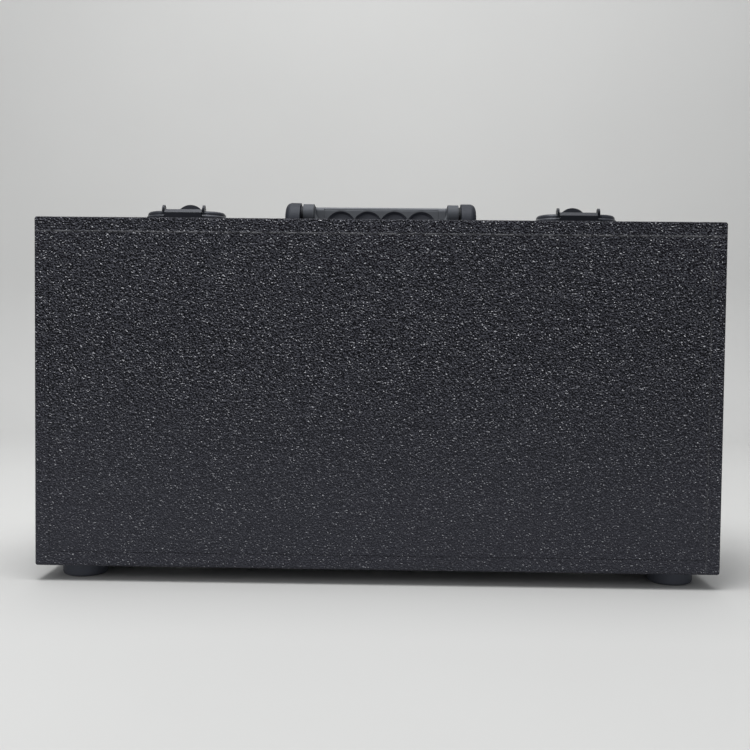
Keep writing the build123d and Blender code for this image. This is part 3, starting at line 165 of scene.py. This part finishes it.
class Finish(Bench):
    """A material: its Principled shader, and the Object coordinates that its patterns read."""

    def __init__(self, name, **constants):
        self.material = bpy.data.materials.new(name)
        self.material.use_nodes = True
        super().__init__(self.material.node_tree)
        self.shader = self.tree.nodes["Principled BSDF"]
        for key, value in constants.items():
            self.feed(self.shader.inputs[key.replace("_", " ")], value)
        self.place = self.node("ShaderNodeTexCoord", output="Object")

    def axis(self, name):
        return self.node("ShaderNodeSeparateXYZ", None, {0: self.place}, name)

    def stretched(self, x, y, z):
        return self.node("ShaderNodeMapping", None, {"Vector": self.place, "Scale": (x, y, z)})

    def noise(self, scale, detail=2.0, roughness=0.5, vector=None):
        vector = vector or self.place
        inputs = {"Vector": vector, "Scale": scale, "Detail": detail, "Roughness": roughness}
        return self.node("ShaderNodeTexNoise", None, inputs, "Fac")

    def cells(self, scale, feature="F1", vector=None, smooth=None):
        inputs = {"Vector": vector or self.place, "Scale": scale}
        if smooth is not None:
            inputs["Smoothness"] = smooth
        return self.node("ShaderNodeTexVoronoi", {"feature": feature}, inputs, "Distance")

    def ramp(self, factor, *stops):
        return self.node("ShaderNodeValToRGB", {"stops": stops}, {0: factor})

    def blend(self, factor, first, second):
        inputs = {0: factor, 6: first, 7: second}
        return self.node("ShaderNodeMix", {"data_type": "RGBA"}, inputs, 2)

    def spread(self, value, low, high, new_low=0.0, new_high=1.0):
        """Goes smoothly from new_low to new_high while the value goes from low to high."""
        inputs = {0: value, 1: low, 2: high, 3: new_low, 4: new_high}
        return self.node("ShaderNodeMapRange", {"interpolation_type": "SMOOTHSTEP"}, inputs)

    def coat(self, colour, roughness, height=None, strength=1.0, depth=0.0002, metallic=None):
        """Feeds the shader and gives the material back."""
        inputs = {"Base Color": colour, "Roughness": roughness, "Metallic": metallic}
        for name, value in inputs.items():
            if value is not None:
                self.feed(self.shader.inputs[name], value)
        if height is not None:
            bump = {"Strength": strength, "Distance": depth, "Height": height}
            self.feed(self.shader.inputs["Normal"], self.node("ShaderNodeBump", None, bump))
        return self.material


def textured_coating():
    """Thick black rubbery paint with a pebbled skin, over the whole case."""
    paint = Finish("textured_coating", Specular_IOR_Level=0.15, Specular_Tint=(0.84, 0.87, 1.0))
    flat = paint.stretched(0.85, 0.92, 1.0)
    shift = {0: flat, 1: (0.0002, -0.0003, 0.0006)}
    lifted = paint.node("ShaderNodeVectorMath", {"operation": "ADD"}, shift)
    grain = {"scale": 860.0, "detail": 1.5}
    crumbs = paint.noise(**grain, vector=flat)
    pebbles = paint.cells(800.0, "SMOOTH_F1", flat, 0.15)
    relief = crumbs * 1.4 - pebbles * 0.6
    # Painted light and shade: light brows over dark pits, as the pebbles look under a lamp from
    # above
    painted_emboss = crumbs - paint.noise(**grain, vector=lifted)
    # The panel's upper and right seams carry a broken bead of paint, raised in the bump, with a
    # painted highlight along it
    front = paint.axis("Y") < FRONT_FACE * MM + 0.0006
    broken = paint.spread(paint.noise(240.0, 2.0), 0.42, 0.58)
    bead_and_highlight = paint.spread(abs(paint.axis("Z") - PANEL_TOP * MM), 0.0001, 0.0011, 1.0, 0.0)
    edge = paint.spread(abs(paint.axis("X") - PANEL_RIGHT * MM), 0.0001, 0.0009, 0.5, 0.0)
    bead_and_highlight = (bead_and_highlight + edge) * front * (broken * 0.75 + 0.25)
    # Towards the floor the pits are painted lighter and fewer painted glints show
    upper = paint.spread(paint.axis("Z"), 0.04, 0.22, 0.5, 1.0)
    lower = paint.spread(paint.axis("Z"), 0.02, 0.21, 1.0, 0.0)
    # Painted light on the pebbles' crowns, painted shade in the pits between them
    painted_crown = paint.spread(painted_emboss - pebbles * 0.1, -0.16, 0.15)
    sparse = paint.spread(paint.noise(700.0, 1.0), 0.52, 0.64)
    # Painted glints: bright specks on a few crowns, where the pebbles would catch the lamp
    glint = paint.spread(painted_emboss, 0.12, 0.22) * sparse * upper
    # The top lies full in the lamp, so its pebbles are dimmed
    skyward = paint.spread(paint.axis("Z"), (TOP - 1.6) * MM, (TOP - 0.2) * MM)
    glint = glint * (1.0 - skyward * 0.55)
    pit = paint.blend(lower, (0.0008, 0.0008, 0.0016), (0.033, 0.0338, 0.042))
    top = paint.blend(lower, (0.090, 0.092, 0.111), (0.066, 0.0675, 0.081))
    colour = paint.blend(painted_crown, pit, top)
    colour = paint.blend(glint, colour, (0.78, 0.785, 0.82))
    # Painted highlight along the seam bead
    colour = paint.blend(bead_and_highlight * 0.6, colour, (0.32, 0.322, 0.34))
    colour = paint.blend(skyward * 0.3, colour, (0.010, 0.0102, 0.0135))
    roughness = 0.62 - painted_crown * 0.26
    return paint.coat(colour, roughness, relief + bead_and_highlight * 0.8, 1.0, 0.0014)


def cast_black():
    """Black powder coat on the castings and stampings of the latches."""
    metal = Finish("cast_black", Specular_IOR_Level=0.3, Specular_Tint=(0.84, 0.89, 1.0))
    skin = metal.noise(900.0, 2.0)
    wear = metal.spread(metal.noise(60.0, 3.0), 0.55, 0.8)
    colour = metal.blend(wear, (0.0095, 0.0105, 0.0145), (0.017, 0.018, 0.023))
    # Painted highlight: the wings and the lever's tab are painted a little lighter, where they catch
    # the lamp
    aside = abs(abs(metal.axis("X")) - LATCH_X * MM)
    wing_highlight = metal.spread(aside, WING_X * MM, (WING_X + 1.0) * MM)
    tab_highlight = (metal.axis("Z") > (TOP + TAB_FOOT) * MM) * (aside < TAB_HALF * MM)
    colour = metal.blend(wing_highlight + tab_highlight * 0.8, colour, (0.032, 0.034, 0.042))
    return metal.coat(colour, 0.30 + skin * 0.14, skin, 0.3, 0.0002)


def grip_plastic():
    """Moulded nylon of the handle: painted light on the grip and in its finger scoops, darker on the
    end caps, painted shade in the gaps.
    """
    nylon = Finish("grip_plastic", Specular_IOR_Level=0.4, Specular_Tint=(0.88, 0.92, 1.0))
    grain = nylon.noise(1500.0, 2.0)
    rub = nylon.spread(nylon.noise(45.0, 3.0), 0.4, 0.8)
    across, deep, high = nylon.axis("X"), nylon.axis("Y"), nylon.axis("Z")
    side = abs(across)
    cap = side > (CAP_X0 - 0.05) * MM
    # Painted shade in the narrow gaps between the end caps and the bow
    gap_shade = (side > (CAP_X0 - BOW_GAP + 0.05) * MM) * (side < (CAP_X0 - 0.05) * MM)
    # Painted light on the grip's face and in its finger scoops
    grip_light = side < GRIP_HALF * MM
    scoop_light = nylon.spread(deep, (GRIP_Y0 + 0.15) * MM, (GRIP_Y0 + 0.6) * MM)
    scoop_light = scoop_light * (deep < (GRIP_Y0 + SCOOP_DEEP) * MM) * (side < SCOOPS_HALF * MM)
    scoop_light = scoop_light * (high < (TOP + SCOOP_HIGH) * MM) * (high > (TOP + SCOOP_LOW) * MM)
    colour = nylon.blend(rub, (0.056, 0.061, 0.070), (0.070, 0.075, 0.086))
    colour = nylon.blend(grip_light, colour, (0.115, 0.122, 0.134))
    colour = nylon.blend(scoop_light, colour, (0.155, 0.163, 0.190))
    colour = nylon.blend(cap, colour, (0.009, 0.011, 0.018))
    colour = nylon.blend(gap_shade, colour, (0.0030, 0.0030, 0.0040))
    return nylon.coat(colour, 0.5 + grain * 0.2, grain, 0.4, 0.00015)


def foot_rubber():
    rubber = Finish("foot_rubber", IOR=1.45)
    skin = rubber.noise(700.0, 3.0)
    dust = rubber.spread(rubber.axis("Z") + rubber.noise(160.0) * 0.004, 0.0, 0.005, 1.0, 0.0)
    colour = rubber.blend(dust, (0.070, 0.076, 0.096), (0.095, 0.095, 0.100))
    return rubber.coat(colour, 0.62 + skin * 0.2, skin, 0.4, 0.0002)


def zinc_plate():
    """Bright zinc on the hinges, pins, strips and standoffs."""
    steel = Finish("zinc_plate", Metallic=1.0)
    grain = steel.noise(120.0, 3.0, 0.6, steel.stretched(0.15, 3.0, 3.0))
    cloud = steel.noise(60.0, 3.0)
    colour = steel.ramp(cloud, (0.3, (0.47, 0.48, 0.50)), (0.7, (0.62, 0.62, 0.63)))
    return steel.coat(colour, 0.26 + grain * 0.22, grain, 0.15, 0.0001)


def drawn_aluminium():
    """Satin anodised profiles, with lines along their length."""
    metal = Finish("drawn_aluminium", Metallic=1.0)
    lines = metal.noise(900.0, 2.0, 0.6, metal.stretched(0.01, 1.0, 1.0))
    colour = metal.ramp(lines, (0.3, (0.60, 0.61, 0.63)), (0.7, (0.74, 0.75, 0.77)))
    return metal.coat(colour, 0.30 + lines * 0.18, lines, 0.2, 0.0001)


def solder_mask():
    """Circuit board: dark mask with power tracks along it and plated holes."""
    board = Finish("solder_mask", IOR=1.5)
    across = (board.axis("Z") / 0.00635) % 1.0
    along = (board.axis("X") / 0.00254) % 1.0
    tracks = (across > 0.28) * (across < 0.72) * (board.noise(9.0, 1.0) > 0.42)
    via = board.cells(160.0, "F1")
    pads = (via < 0.10) * (along > 0.1)
    colour = board.blend(tracks, (0.004, 0.022, 0.010), (0.009, 0.060, 0.024))
    colour = board.blend(pads, colour, (0.55, 0.50, 0.38))
    return board.coat(colour, 0.34 + board.noise(500.0) * 0.1, tracks, 0.5, 0.0001, pads * 0.8)


def moulded_black():
    plastic = Finish("moulded_black")
    grain = plastic.noise(1100.0, 2.0)
    colour = plastic.blend(plastic.noise(70.0), (0.012, 0.012, 0.013), (0.024, 0.024, 0.026))
    return plastic.coat(colour, 0.36 + grain * 0.18, grain, 0.3, 0.0001)


def black_oxide():
    metal = Finish("black_oxide", Metallic=0.6)
    skin = metal.noise(800.0, 2.0)
    colour = metal.blend(skin, (0.018, 0.018, 0.020), (0.045, 0.045, 0.048))
    return metal.coat(colour, 0.3 + skin * 0.25, skin, 0.3, 0.0001)


def gilt_pin():
    gold = Finish("gilt_pin", Metallic=1.0)
    tint = gold.blend(gold.noise(400.0), (0.75, 0.52, 0.20), (0.88, 0.68, 0.32))
    return gold.coat(tint, 0.24 + gold.noise(900.0) * 0.15)


def can_sleeve():
    """Capacitor can: dark sleeve with a pale stripe, and bare aluminium on the end."""
    sleeve = Finish("can_sleeve")
    end = sleeve.spread(sleeve.axis("Y"), 0.0490, 0.0496, 1.0, 0.0)
    stripe = abs((sleeve.axis("X") / 0.020) % 1.0 - 0.5) < 0.06
    colour = sleeve.blend(stripe, (0.012, 0.014, 0.030), (0.42, 0.43, 0.45))
    colour = sleeve.blend(end, colour, (0.68, 0.69, 0.70))
    return sleeve.coat(colour, 0.3 + sleeve.noise(500.0) * 0.12, metallic=end)


FINISHES = {
    "coated_wood": textured_coating(),
    "foot_rubber": foot_rubber(),
    "rail_aluminium": drawn_aluminium(),
    "plain_steel": zinc_plate(),
    "black_screws": black_oxide(),
    "black_metal": cast_black(),
    "handle_plastic": grip_plastic(),
    "black_plastic": moulded_black(),
    "circuit_board": solder_mask(),
}
GILT = gilt_pin()
SLEEVE = can_sleeve()

for entry in frame["record"]["subparts"]:
    for material_slot in nodes[entry["node"]].material_slots:
        material_slot.material = FINISHES[entry["material_slot"]]


class Recipe(Bench):
    """A Geometry Nodes tree with named inputs for its sizes, in metres.

    It ends in Realize Instances and Set Material.
    """

    def __init__(self, name, **sizes):
        super().__init__(bpy.data.node_groups.new(name, "GeometryNodeTree"))
        face = self.tree.interface
        face.new_socket("Geometry", in_out="INPUT", socket_type="NodeSocketGeometry")
        face.new_socket("Geometry", in_out="OUTPUT", socket_type="NodeSocketGeometry")
        kinds = {float: "NodeSocketFloat", int: "NodeSocketInt", tuple: "NodeSocketVector"}
        self.sockets = {}
        self.sizes = sizes
        for key, value in sizes.items():
            item = face.new_socket(key, in_out="INPUT", socket_type=kinds[type(value)])
            self.sockets[key] = item.identifier

    def size(self, name):
        return self.node("NodeGroupInput", output=name)

    def vector(self, x=0.0, y=0.0, z=0.0):
        return self.node("ShaderNodeCombineXYZ", None, {0: x, 1: y, 2: z})

    def moved(self, geometry, x=0.0, y=0.0, z=0.0, turn=(0.0, 0.0, 0.0)):
        inputs = {"Geometry": geometry, "Translation": self.vector(x, y, z), "Rotation": turn}
        return self.node("GeometryNodeTransform", None, inputs)

    def block(self, x, y, z):
        return self.node("GeometryNodeMeshCube", None, {"Size": self.vector(x, y, z)})

    def rod(self, radius, depth, sides=16):
        inputs = {"Vertices": sides, "Radius": radius, "Depth": depth}
        return self.node("GeometryNodeMeshCylinder", None, inputs)

    def together(self, *parts):
        return self.node("GeometryNodeJoinGeometry", None, {0: list(reversed(parts))})

    def cut(self, body, *tools):
        inputs = {0: body, 1: list(tools)}
        return self.node("GeometryNodeMeshBoolean", {"operation": "DIFFERENCE"}, inputs)

    def repeated(self, points, part, turn=(0.0, 0.0, 0.0)):
        inputs = {"Points": points, "Instance": part, "Rotation": turn}
        return self.node("GeometryNodeInstanceOnPoints", None, inputs)

    def close(self, geometry, material):
        solid = self.node("GeometryNodeRealizeInstances", None, {0: geometry})
        painted = self.node("GeometryNodeSetMaterial", None, {0: solid, "Material": material})
        self.node("NodeGroupOutput", None, {0: painted})
        return self


def grown(name, points, recipe, body, slot, replaces=(), **sizes):
    """Runs a recipe on points in millimetres, and keeps the result as a plain mesh on a body."""
    seeds = bpy.data.meshes.new(name + "_points")
    seeds.from_pydata([Vector(point) * MM for point in points], [], [])
    carrier = bpy.data.objects.new(name + "_points", seeds)
    bpy.context.scene.collection.objects.link(carrier)
    modifier = carrier.modifiers.new(name, "NODES")
    modifier.node_group = recipe.tree
    for key, value in {**recipe.sizes, **sizes}.items():
        modifier[recipe.sockets[key]] = value
    seen = carrier.evaluated_get(bpy.context.evaluated_depsgraph_get())
    piece = bpy.data.objects.new(name, bpy.data.meshes.new_from_object(seen))
    bpy.data.objects.remove(carrier)
    bpy.context.scene.collection.objects.link(piece)
    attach(piece, body)
    if replaces:
        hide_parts(*replaces)
    return piece


def cross_head_recipe(name, material):
    """A domed screw head with a cross recess. Its seat is at the point, and Turn turns its crown."""
    sizes = {"Radius": 0.0032, "Height": 0.0018, "Dome": 0.0006, "Slot": 0.0008, "Recess": 0.0010}
    made = Recipe(name, **sizes, Turn=(0.0, 0.0, 0.0))
    radius, height, dome = made.size("Radius"), made.size("Height"), made.size("Dome")
    disc = made.node(
        "GeometryNodeMeshCylinder",
        None,
        {"Vertices": 32, "Radius": radius, "Depth": height, "Fill Segments": 4},
    )
    disc = made.moved(disc, z=height / 2)
    spot = made.node("GeometryNodeInputPosition")
    x, y, z = (made.node("ShaderNodeSeparateXYZ", None, {0: spot}, key) for key in "XYZ")
    reach = (x * x + y * y) / (radius * radius)
    fall = (z > height * 0.5) * reach * dome
    offset = made.vector(z=0.0 - fall)
    domed = made.node("GeometryNodeSetPosition", None, {"Geometry": disc, "Offset": offset})
    slot, recess = made.size("Slot"), made.size("Recess")
    bar = made.block(radius * 1.25, slot, recess * 2)
    other = made.block(slot, radius * 1.25, recess * 2)
    cutters = [made.moved(piece, z=height) for piece in (bar, other)]
    head = made.cut(domed, *cutters)
    return made.close(made.repeated(made.size("Geometry"), head, made.size("Turn")), material)


def holed_strip_recipe():
    """A threaded strip: a cell with one hole, repeated along X, with a blank end on each side."""
    made = Recipe("holed_strip", Pitch=0.00508, Holes=102, High=0.007, Thick=0.002, Hole=0.00125)
    pitch, holes, high, thick = (made.size(key) for key in ("Pitch", "Holes", "High", "Thick"))
    cell = made.block(pitch, thick, high)
    hole = made.moved(made.rod(made.size("Hole"), thick * 2, 12), turn=(pi / 2, 0.0, 0.0))
    cell = made.cut(cell, hole)
    reach = (holes - 1) * pitch / 2
    line = made.node(
        "GeometryNodeMeshLine",
        None,
        {"Count": holes, "Start Location": made.vector(0.0 - reach), "Offset": made.vector(pitch)},
    )
    row = made.repeated(line, cell)
    blank = made.block(pitch, thick, high)
    ends = [made.moved(blank, x=way * (reach + pitch)) for way in (1.0, -1.0)]
    strip = made.node("GeometryNodeRealizeInstances", None, {0: made.together(row, *ends)})
    # The walls between the cells go, so that the strip is one closed piece
    normal, position = (made.node(f"GeometryNodeInput{word}") for word in ("Normal", "Position"))
    side, spot = (
        made.node("ShaderNodeSeparateXYZ", None, {0: vector}, "X") for vector in (normal, position)
    )
    area = made.node("GeometryNodeInputMeshFaceArea")
    inner = (abs(side) > 0.99) * (area > high * thick * 0.9) * (abs(spot) < reach + pitch * 1.4)
    doomed = {"Geometry": strip, "Selection": inner}
    strip = made.node("GeometryNodeDeleteGeometry", {"domain": "FACE"}, doomed)
    strip = made.node("GeometryNodeMergeByDistance", None, {"Geometry": strip, "Distance": 0.00001})
    return made.close(made.repeated(made.size("Geometry"), strip), FINISHES["plain_steel"])


def shroud_recipe():
    """The box of a keyed header, open to the lid, its back at the point."""
    outside = {"Long": 0.022, "Wide": 0.009, "Deep": 0.0086}
    made = Recipe("header_shroud", **outside, Wall=0.0011, Floor=0.0022, Key=0.0045)
    long, wide, deep = (made.size(key) for key in ("Long", "Wide", "Deep"))
    wall, floor, key = (made.size(key) for key in ("Wall", "Floor", "Key"))
    shell = made.moved(made.block(long, deep, wide), y=deep * -0.5)
    room = made.moved(made.block(long - wall * 2, deep, wide - wall * 2), y=deep * -0.5 - floor)
    notch = made.moved(made.block(key, deep, wall * 2), y=deep * -0.5 - floor, z=wide * 0.5)
    shroud = made.cut(shell, room, notch)
    return made.close(made.repeated(made.size("Geometry"), shroud), FINISHES["black_plastic"])


def pin_field_recipe():
    """The pins of a header: two rows of square posts."""
    made = Recipe("pin_field", Pitch=0.00254, Columns=8, Rows=2, Side=0.00064, Reach=0.0072)
    pitch, columns, rows, reach = (made.size(key) for key in ("Pitch", "Columns", "Rows", "Reach"))
    spans = {"Size X": pitch * (columns - 1), "Size Y": pitch * (rows - 1)}
    counts = {"Vertices X": columns, "Vertices Y": rows}
    field = made.node("GeometryNodeMeshGrid", None, {**spans, **counts})
    field = made.moved(field, turn=(pi / 2, 0.0, 0.0))
    side = made.size("Side")
    post = made.moved(made.block(side, reach, side), y=reach * -0.5)
    header = made.node("GeometryNodeRealizeInstances", None, {0: made.repeated(field, post)})
    return made.close(made.repeated(made.size("Geometry"), header), GILT)


def can_recipe():
    """A capacitor can that stands on its board and points to the lid, with a rolled edge."""
    made = Recipe("can", Radius=0.006, High=0.018, Roll=0.0006, Neck=0.0016)
    radius, high, roll, neck = (made.size(key) for key in ("Radius", "High", "Roll", "Neck"))
    parts = []
    for start, length, share in (
        (0.0, neck, 1.0),
        (neck, roll, 0.93),
        (neck + roll, high - neck - roll * 2, 1.0),
        (high - roll, roll, 0.9),
    ):
        disc = made.rod(radius * share, length, 32)
        parts.append(made.moved(disc, y=start * -1.0 + length * -0.5, turn=(pi / 2, 0.0, 0.0)))
    return made.close(made.repeated(made.size("Geometry"), made.together(*parts)), SLEEVE)


def rib_recipe(material):
    """Raised finger ribs, one above the other."""
    made = Recipe("finger_ribs", Long=0.014, Pitch=0.0022, Ribs=4, Radius=0.00045)
    line = made.node(
        "GeometryNodeMeshLine",
        None,
        {"Count": made.size("Ribs"), "Offset": made.vector(z=made.size("Pitch"))},
    )
    rib = made.moved(made.rod(made.size("Radius"), made.size("Long"), 10), turn=(0.0, pi / 2, 0.0))
    field = made.node("GeometryNodeRealizeInstances", None, {0: made.repeated(line, rib)})
    return made.close(made.repeated(made.size("Geometry"), field), material)


def around(x, y, z, reach_x=0.0, reach_y=0.0):
    """The points at both signs of each reach, around a point and around its mirror image in X."""
    spots = []
    for way in (-1, 1):
        for a in (-1, 1) if reach_x else (0,):
            for b in (-1, 1) if reach_y else (0,):
                spots.append((way * x + a * reach_x, y + b * reach_y, z))
    return spots


def dress_screws():
    black = cross_head_recipe("cross_head_black", FINISHES["black_screws"])
    down, right = (pi, 0.0, 0.0), (0.0, pi / 2, 0.0)

    def heads(name, spots, body, node, **sizes):
        grown(name, spots, black, body, "black_screws", [node], **sizes)

    wells = around(LATCH_X, LATCH_Y, TOP + BASE_SEAT, BASE_SCREW_X, BASE_SCREW_Y)
    heads("latch_screw_heads", wells, "case", "latch_base_screws")
    plates = around(LATCH_X, KEEPER_Y, TOP + KEEPER_THICK, KEEPER_SCREW_X)
    heads("keeper_screw_heads", plates, "lid", "latch_keeper_screws")
    big = {"Radius": 0.0042, "Height": 0.0024, "Slot": 0.001}
    inside = around(MOUNT_X, MOUNT_Y, TOP - WALL, reach_y=MOUNT_SCREW_Y)
    heads("handle_screw_heads", inside, "case", "handle_mount_screws", Turn=down, **big)
    for body, word, y in (("lid", "lid", -FOOT_Y), ("case", "body", FOOT_Y)):
        feet = around(FOOT_X, y, FOOT_SEAT)
        heads(f"{body}_foot_heads", feet, body, f"{word}_foot_screws", Turn=down, **big)
    flush = {"Radius": 0.0028, "Height": 0.0011, "Dome": 0.0002, "Recess": 0.0007}
    for body, word, y in (("lid", "lid", LID_LEAF_Y), ("case", "body", BODY_LEAF_Y)):
        leaves = around(HINGE_X, y, HINGE_SEAT, HINGE_SCREW_X)
        heads(f"{body}_hinge_heads", leaves, body, f"hinge_{word}_screws", Turn=down, **flush)
    low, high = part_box("inlet_plate")
    middle = (low.y + high.y) / 2 / MM
    ends = [(high.x / MM, middle + way * INLET_SCREW_Y, INLET_Z) for way in (-1, 1)]
    heads("inlet_screw_heads", ends, "case", "inlet_plate_screws", Turn=right)


def spaced(count, pitch, middle):
    """Places in a row, one pitch apart, about its middle."""
    return [middle + (i - (count - 1) / 2) * pitch for i in range(count)]


def dress_inside():
    strips = [(0.0, STRIP_Y, level) for level in RAIL_LEVELS]
    grown("holed_strips", strips, holed_strip_recipe(), "case", "plain_steel", ["threaded_strips"])
    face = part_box("bus_headers")[1].y / MM
    headers = [(x, face, level) for level in ROWS for x in spaced(HEADERS, HEADER_PITCH, HEADER_X)]
    grown("header_shrouds", headers, shroud_recipe(), "case", "black_plastic", ["bus_headers"])
    grown("header_pins", headers, pin_field_recipe(), "case", "plain_steel")
    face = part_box("supply_capacitors")[1].y / MM
    cans = [(x, face, CAN_Z) for x in spaced(CANS, CAN_PITCH, CAN_X)]
    grown("supply_cans", cans, can_recipe(), "case", "black_plastic", ["supply_capacitors"])


def dress_latches():
    ribs = rib_recipe(FINISHES["black_metal"])
    for way, word in ((-1, "left"), (1, "right")):
        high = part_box(f"latch_lever_{word}")[1]
        back = [(way * LATCH_X, high.y / MM - RIB_SINK, TOP + RIB_FOOT)]
        grown(f"lever_ribs_{word}", back, ribs, f"latch_{word}_lever", "black_metal")


def lay_stage():
    """Pale floor that sweeps up into the wall behind."""
    half, depth, reach, bend, tall = 14.0, -16.0, 1.1, 0.35, 3.5
    line = [(depth, 0.0)]
    steps = 12
    for i in range(steps + 1):
        angle = pi / 2 * i / steps
        line.append((reach + bend * sin(angle), bend - bend * cos(angle)))
    line.append((reach + bend, tall))
    mesh = bpy.data.meshes.new("sweep")
    vertices = [(x, y, z) for y, z in line for x in (-half, half)]
    faces = [(2 * i, 2 * i + 1, 2 * i + 3, 2 * i + 2) for i in range(len(line) - 1)]
    mesh.from_pydata(vertices, [], faces)
    mesh.shade_smooth()
    sweep = bpy.data.objects.new("sweep", mesh)
    bpy.context.scene.collection.objects.link(sweep)
    paper = Finish("pale_paper")
    tone = paper.blend(paper.noise(3.0, 3.0), (0.62, 0.62, 0.61), (0.66, 0.66, 0.65))
    mesh.materials.append(paper.coat(tone, 0.8 + paper.noise(40.0) * 0.1))


def hang_light(name, place, target, size, watts):
    """A square lamp at a place in metres, which faces the target."""
    lamp = bpy.data.lights.new(name, "AREA")
    lamp.shape, lamp.size, lamp.energy = "SQUARE", size, watts
    holder = bpy.data.objects.new(name, lamp)
    holder.location = place
    aim = Vector(target) - Vector(place)
    holder.rotation_euler = aim.to_track_quat("-Z", "Y").to_euler()
    bpy.context.scene.collection.objects.link(holder)


def light_room():
    world = bpy.data.worlds.new("room")
    world.use_nodes = True
    sky = world.node_tree.nodes["Background"]
    sky.inputs["Color"].default_value = (0.90, 0.92, 0.95, 1.0)
    sky.inputs["Strength"].default_value = 0.34
    bpy.context.scene.world = world
    hang_light("overhead", (-0.25, -0.45, 1.8), (0.0, -0.05, 0.15), 1.0, 19.0)
    hang_light("wall_wash", (0.0, 0.35, 2.3), (0.0, 1.45, 0.5), 1.8, 24.0)
    hang_light("front_left", (-1.3, -1.9, 1.2), (0.0, 0.0, 0.15), 1.0, 6.0)


def set_camera():
    """The photograph's point of view, fitted to the four corners of the case's face."""
    pitch, roll, yaw = radians(2.253), radians(0.616), radians(1.053)
    turn = Matrix.Rotation(yaw, 3, "Z")
    ahead = turn @ Vector((0.0, cos(pitch), -sin(pitch)))
    up = turn @ Vector((0.0, sin(pitch), cos(pitch)))
    right = turn @ Vector((1.0, 0.0, 0.0))
    across = cos(roll) * right + sin(roll) * up
    upright = cos(roll) * up - sin(roll) * right
    stand = Matrix((across, upright, -ahead)).transposed().to_4x4()
    stand.translation = (0.0132, -0.9116, 0.2086)
    camera = bpy.data.objects.new("camera", bpy.data.cameras.new("camera"))
    camera.data.lens = 48.0
    camera.data.sensor_width = 36.0
    camera.matrix_world = stand
    bpy.context.scene.collection.objects.link(camera)
    bpy.context.scene.camera = camera


bpy.context.scene.view_settings.view_transform = "Standard"
set_camera()
lay_stage()
light_room()
dress_screws()
dress_inside()
dress_latches()
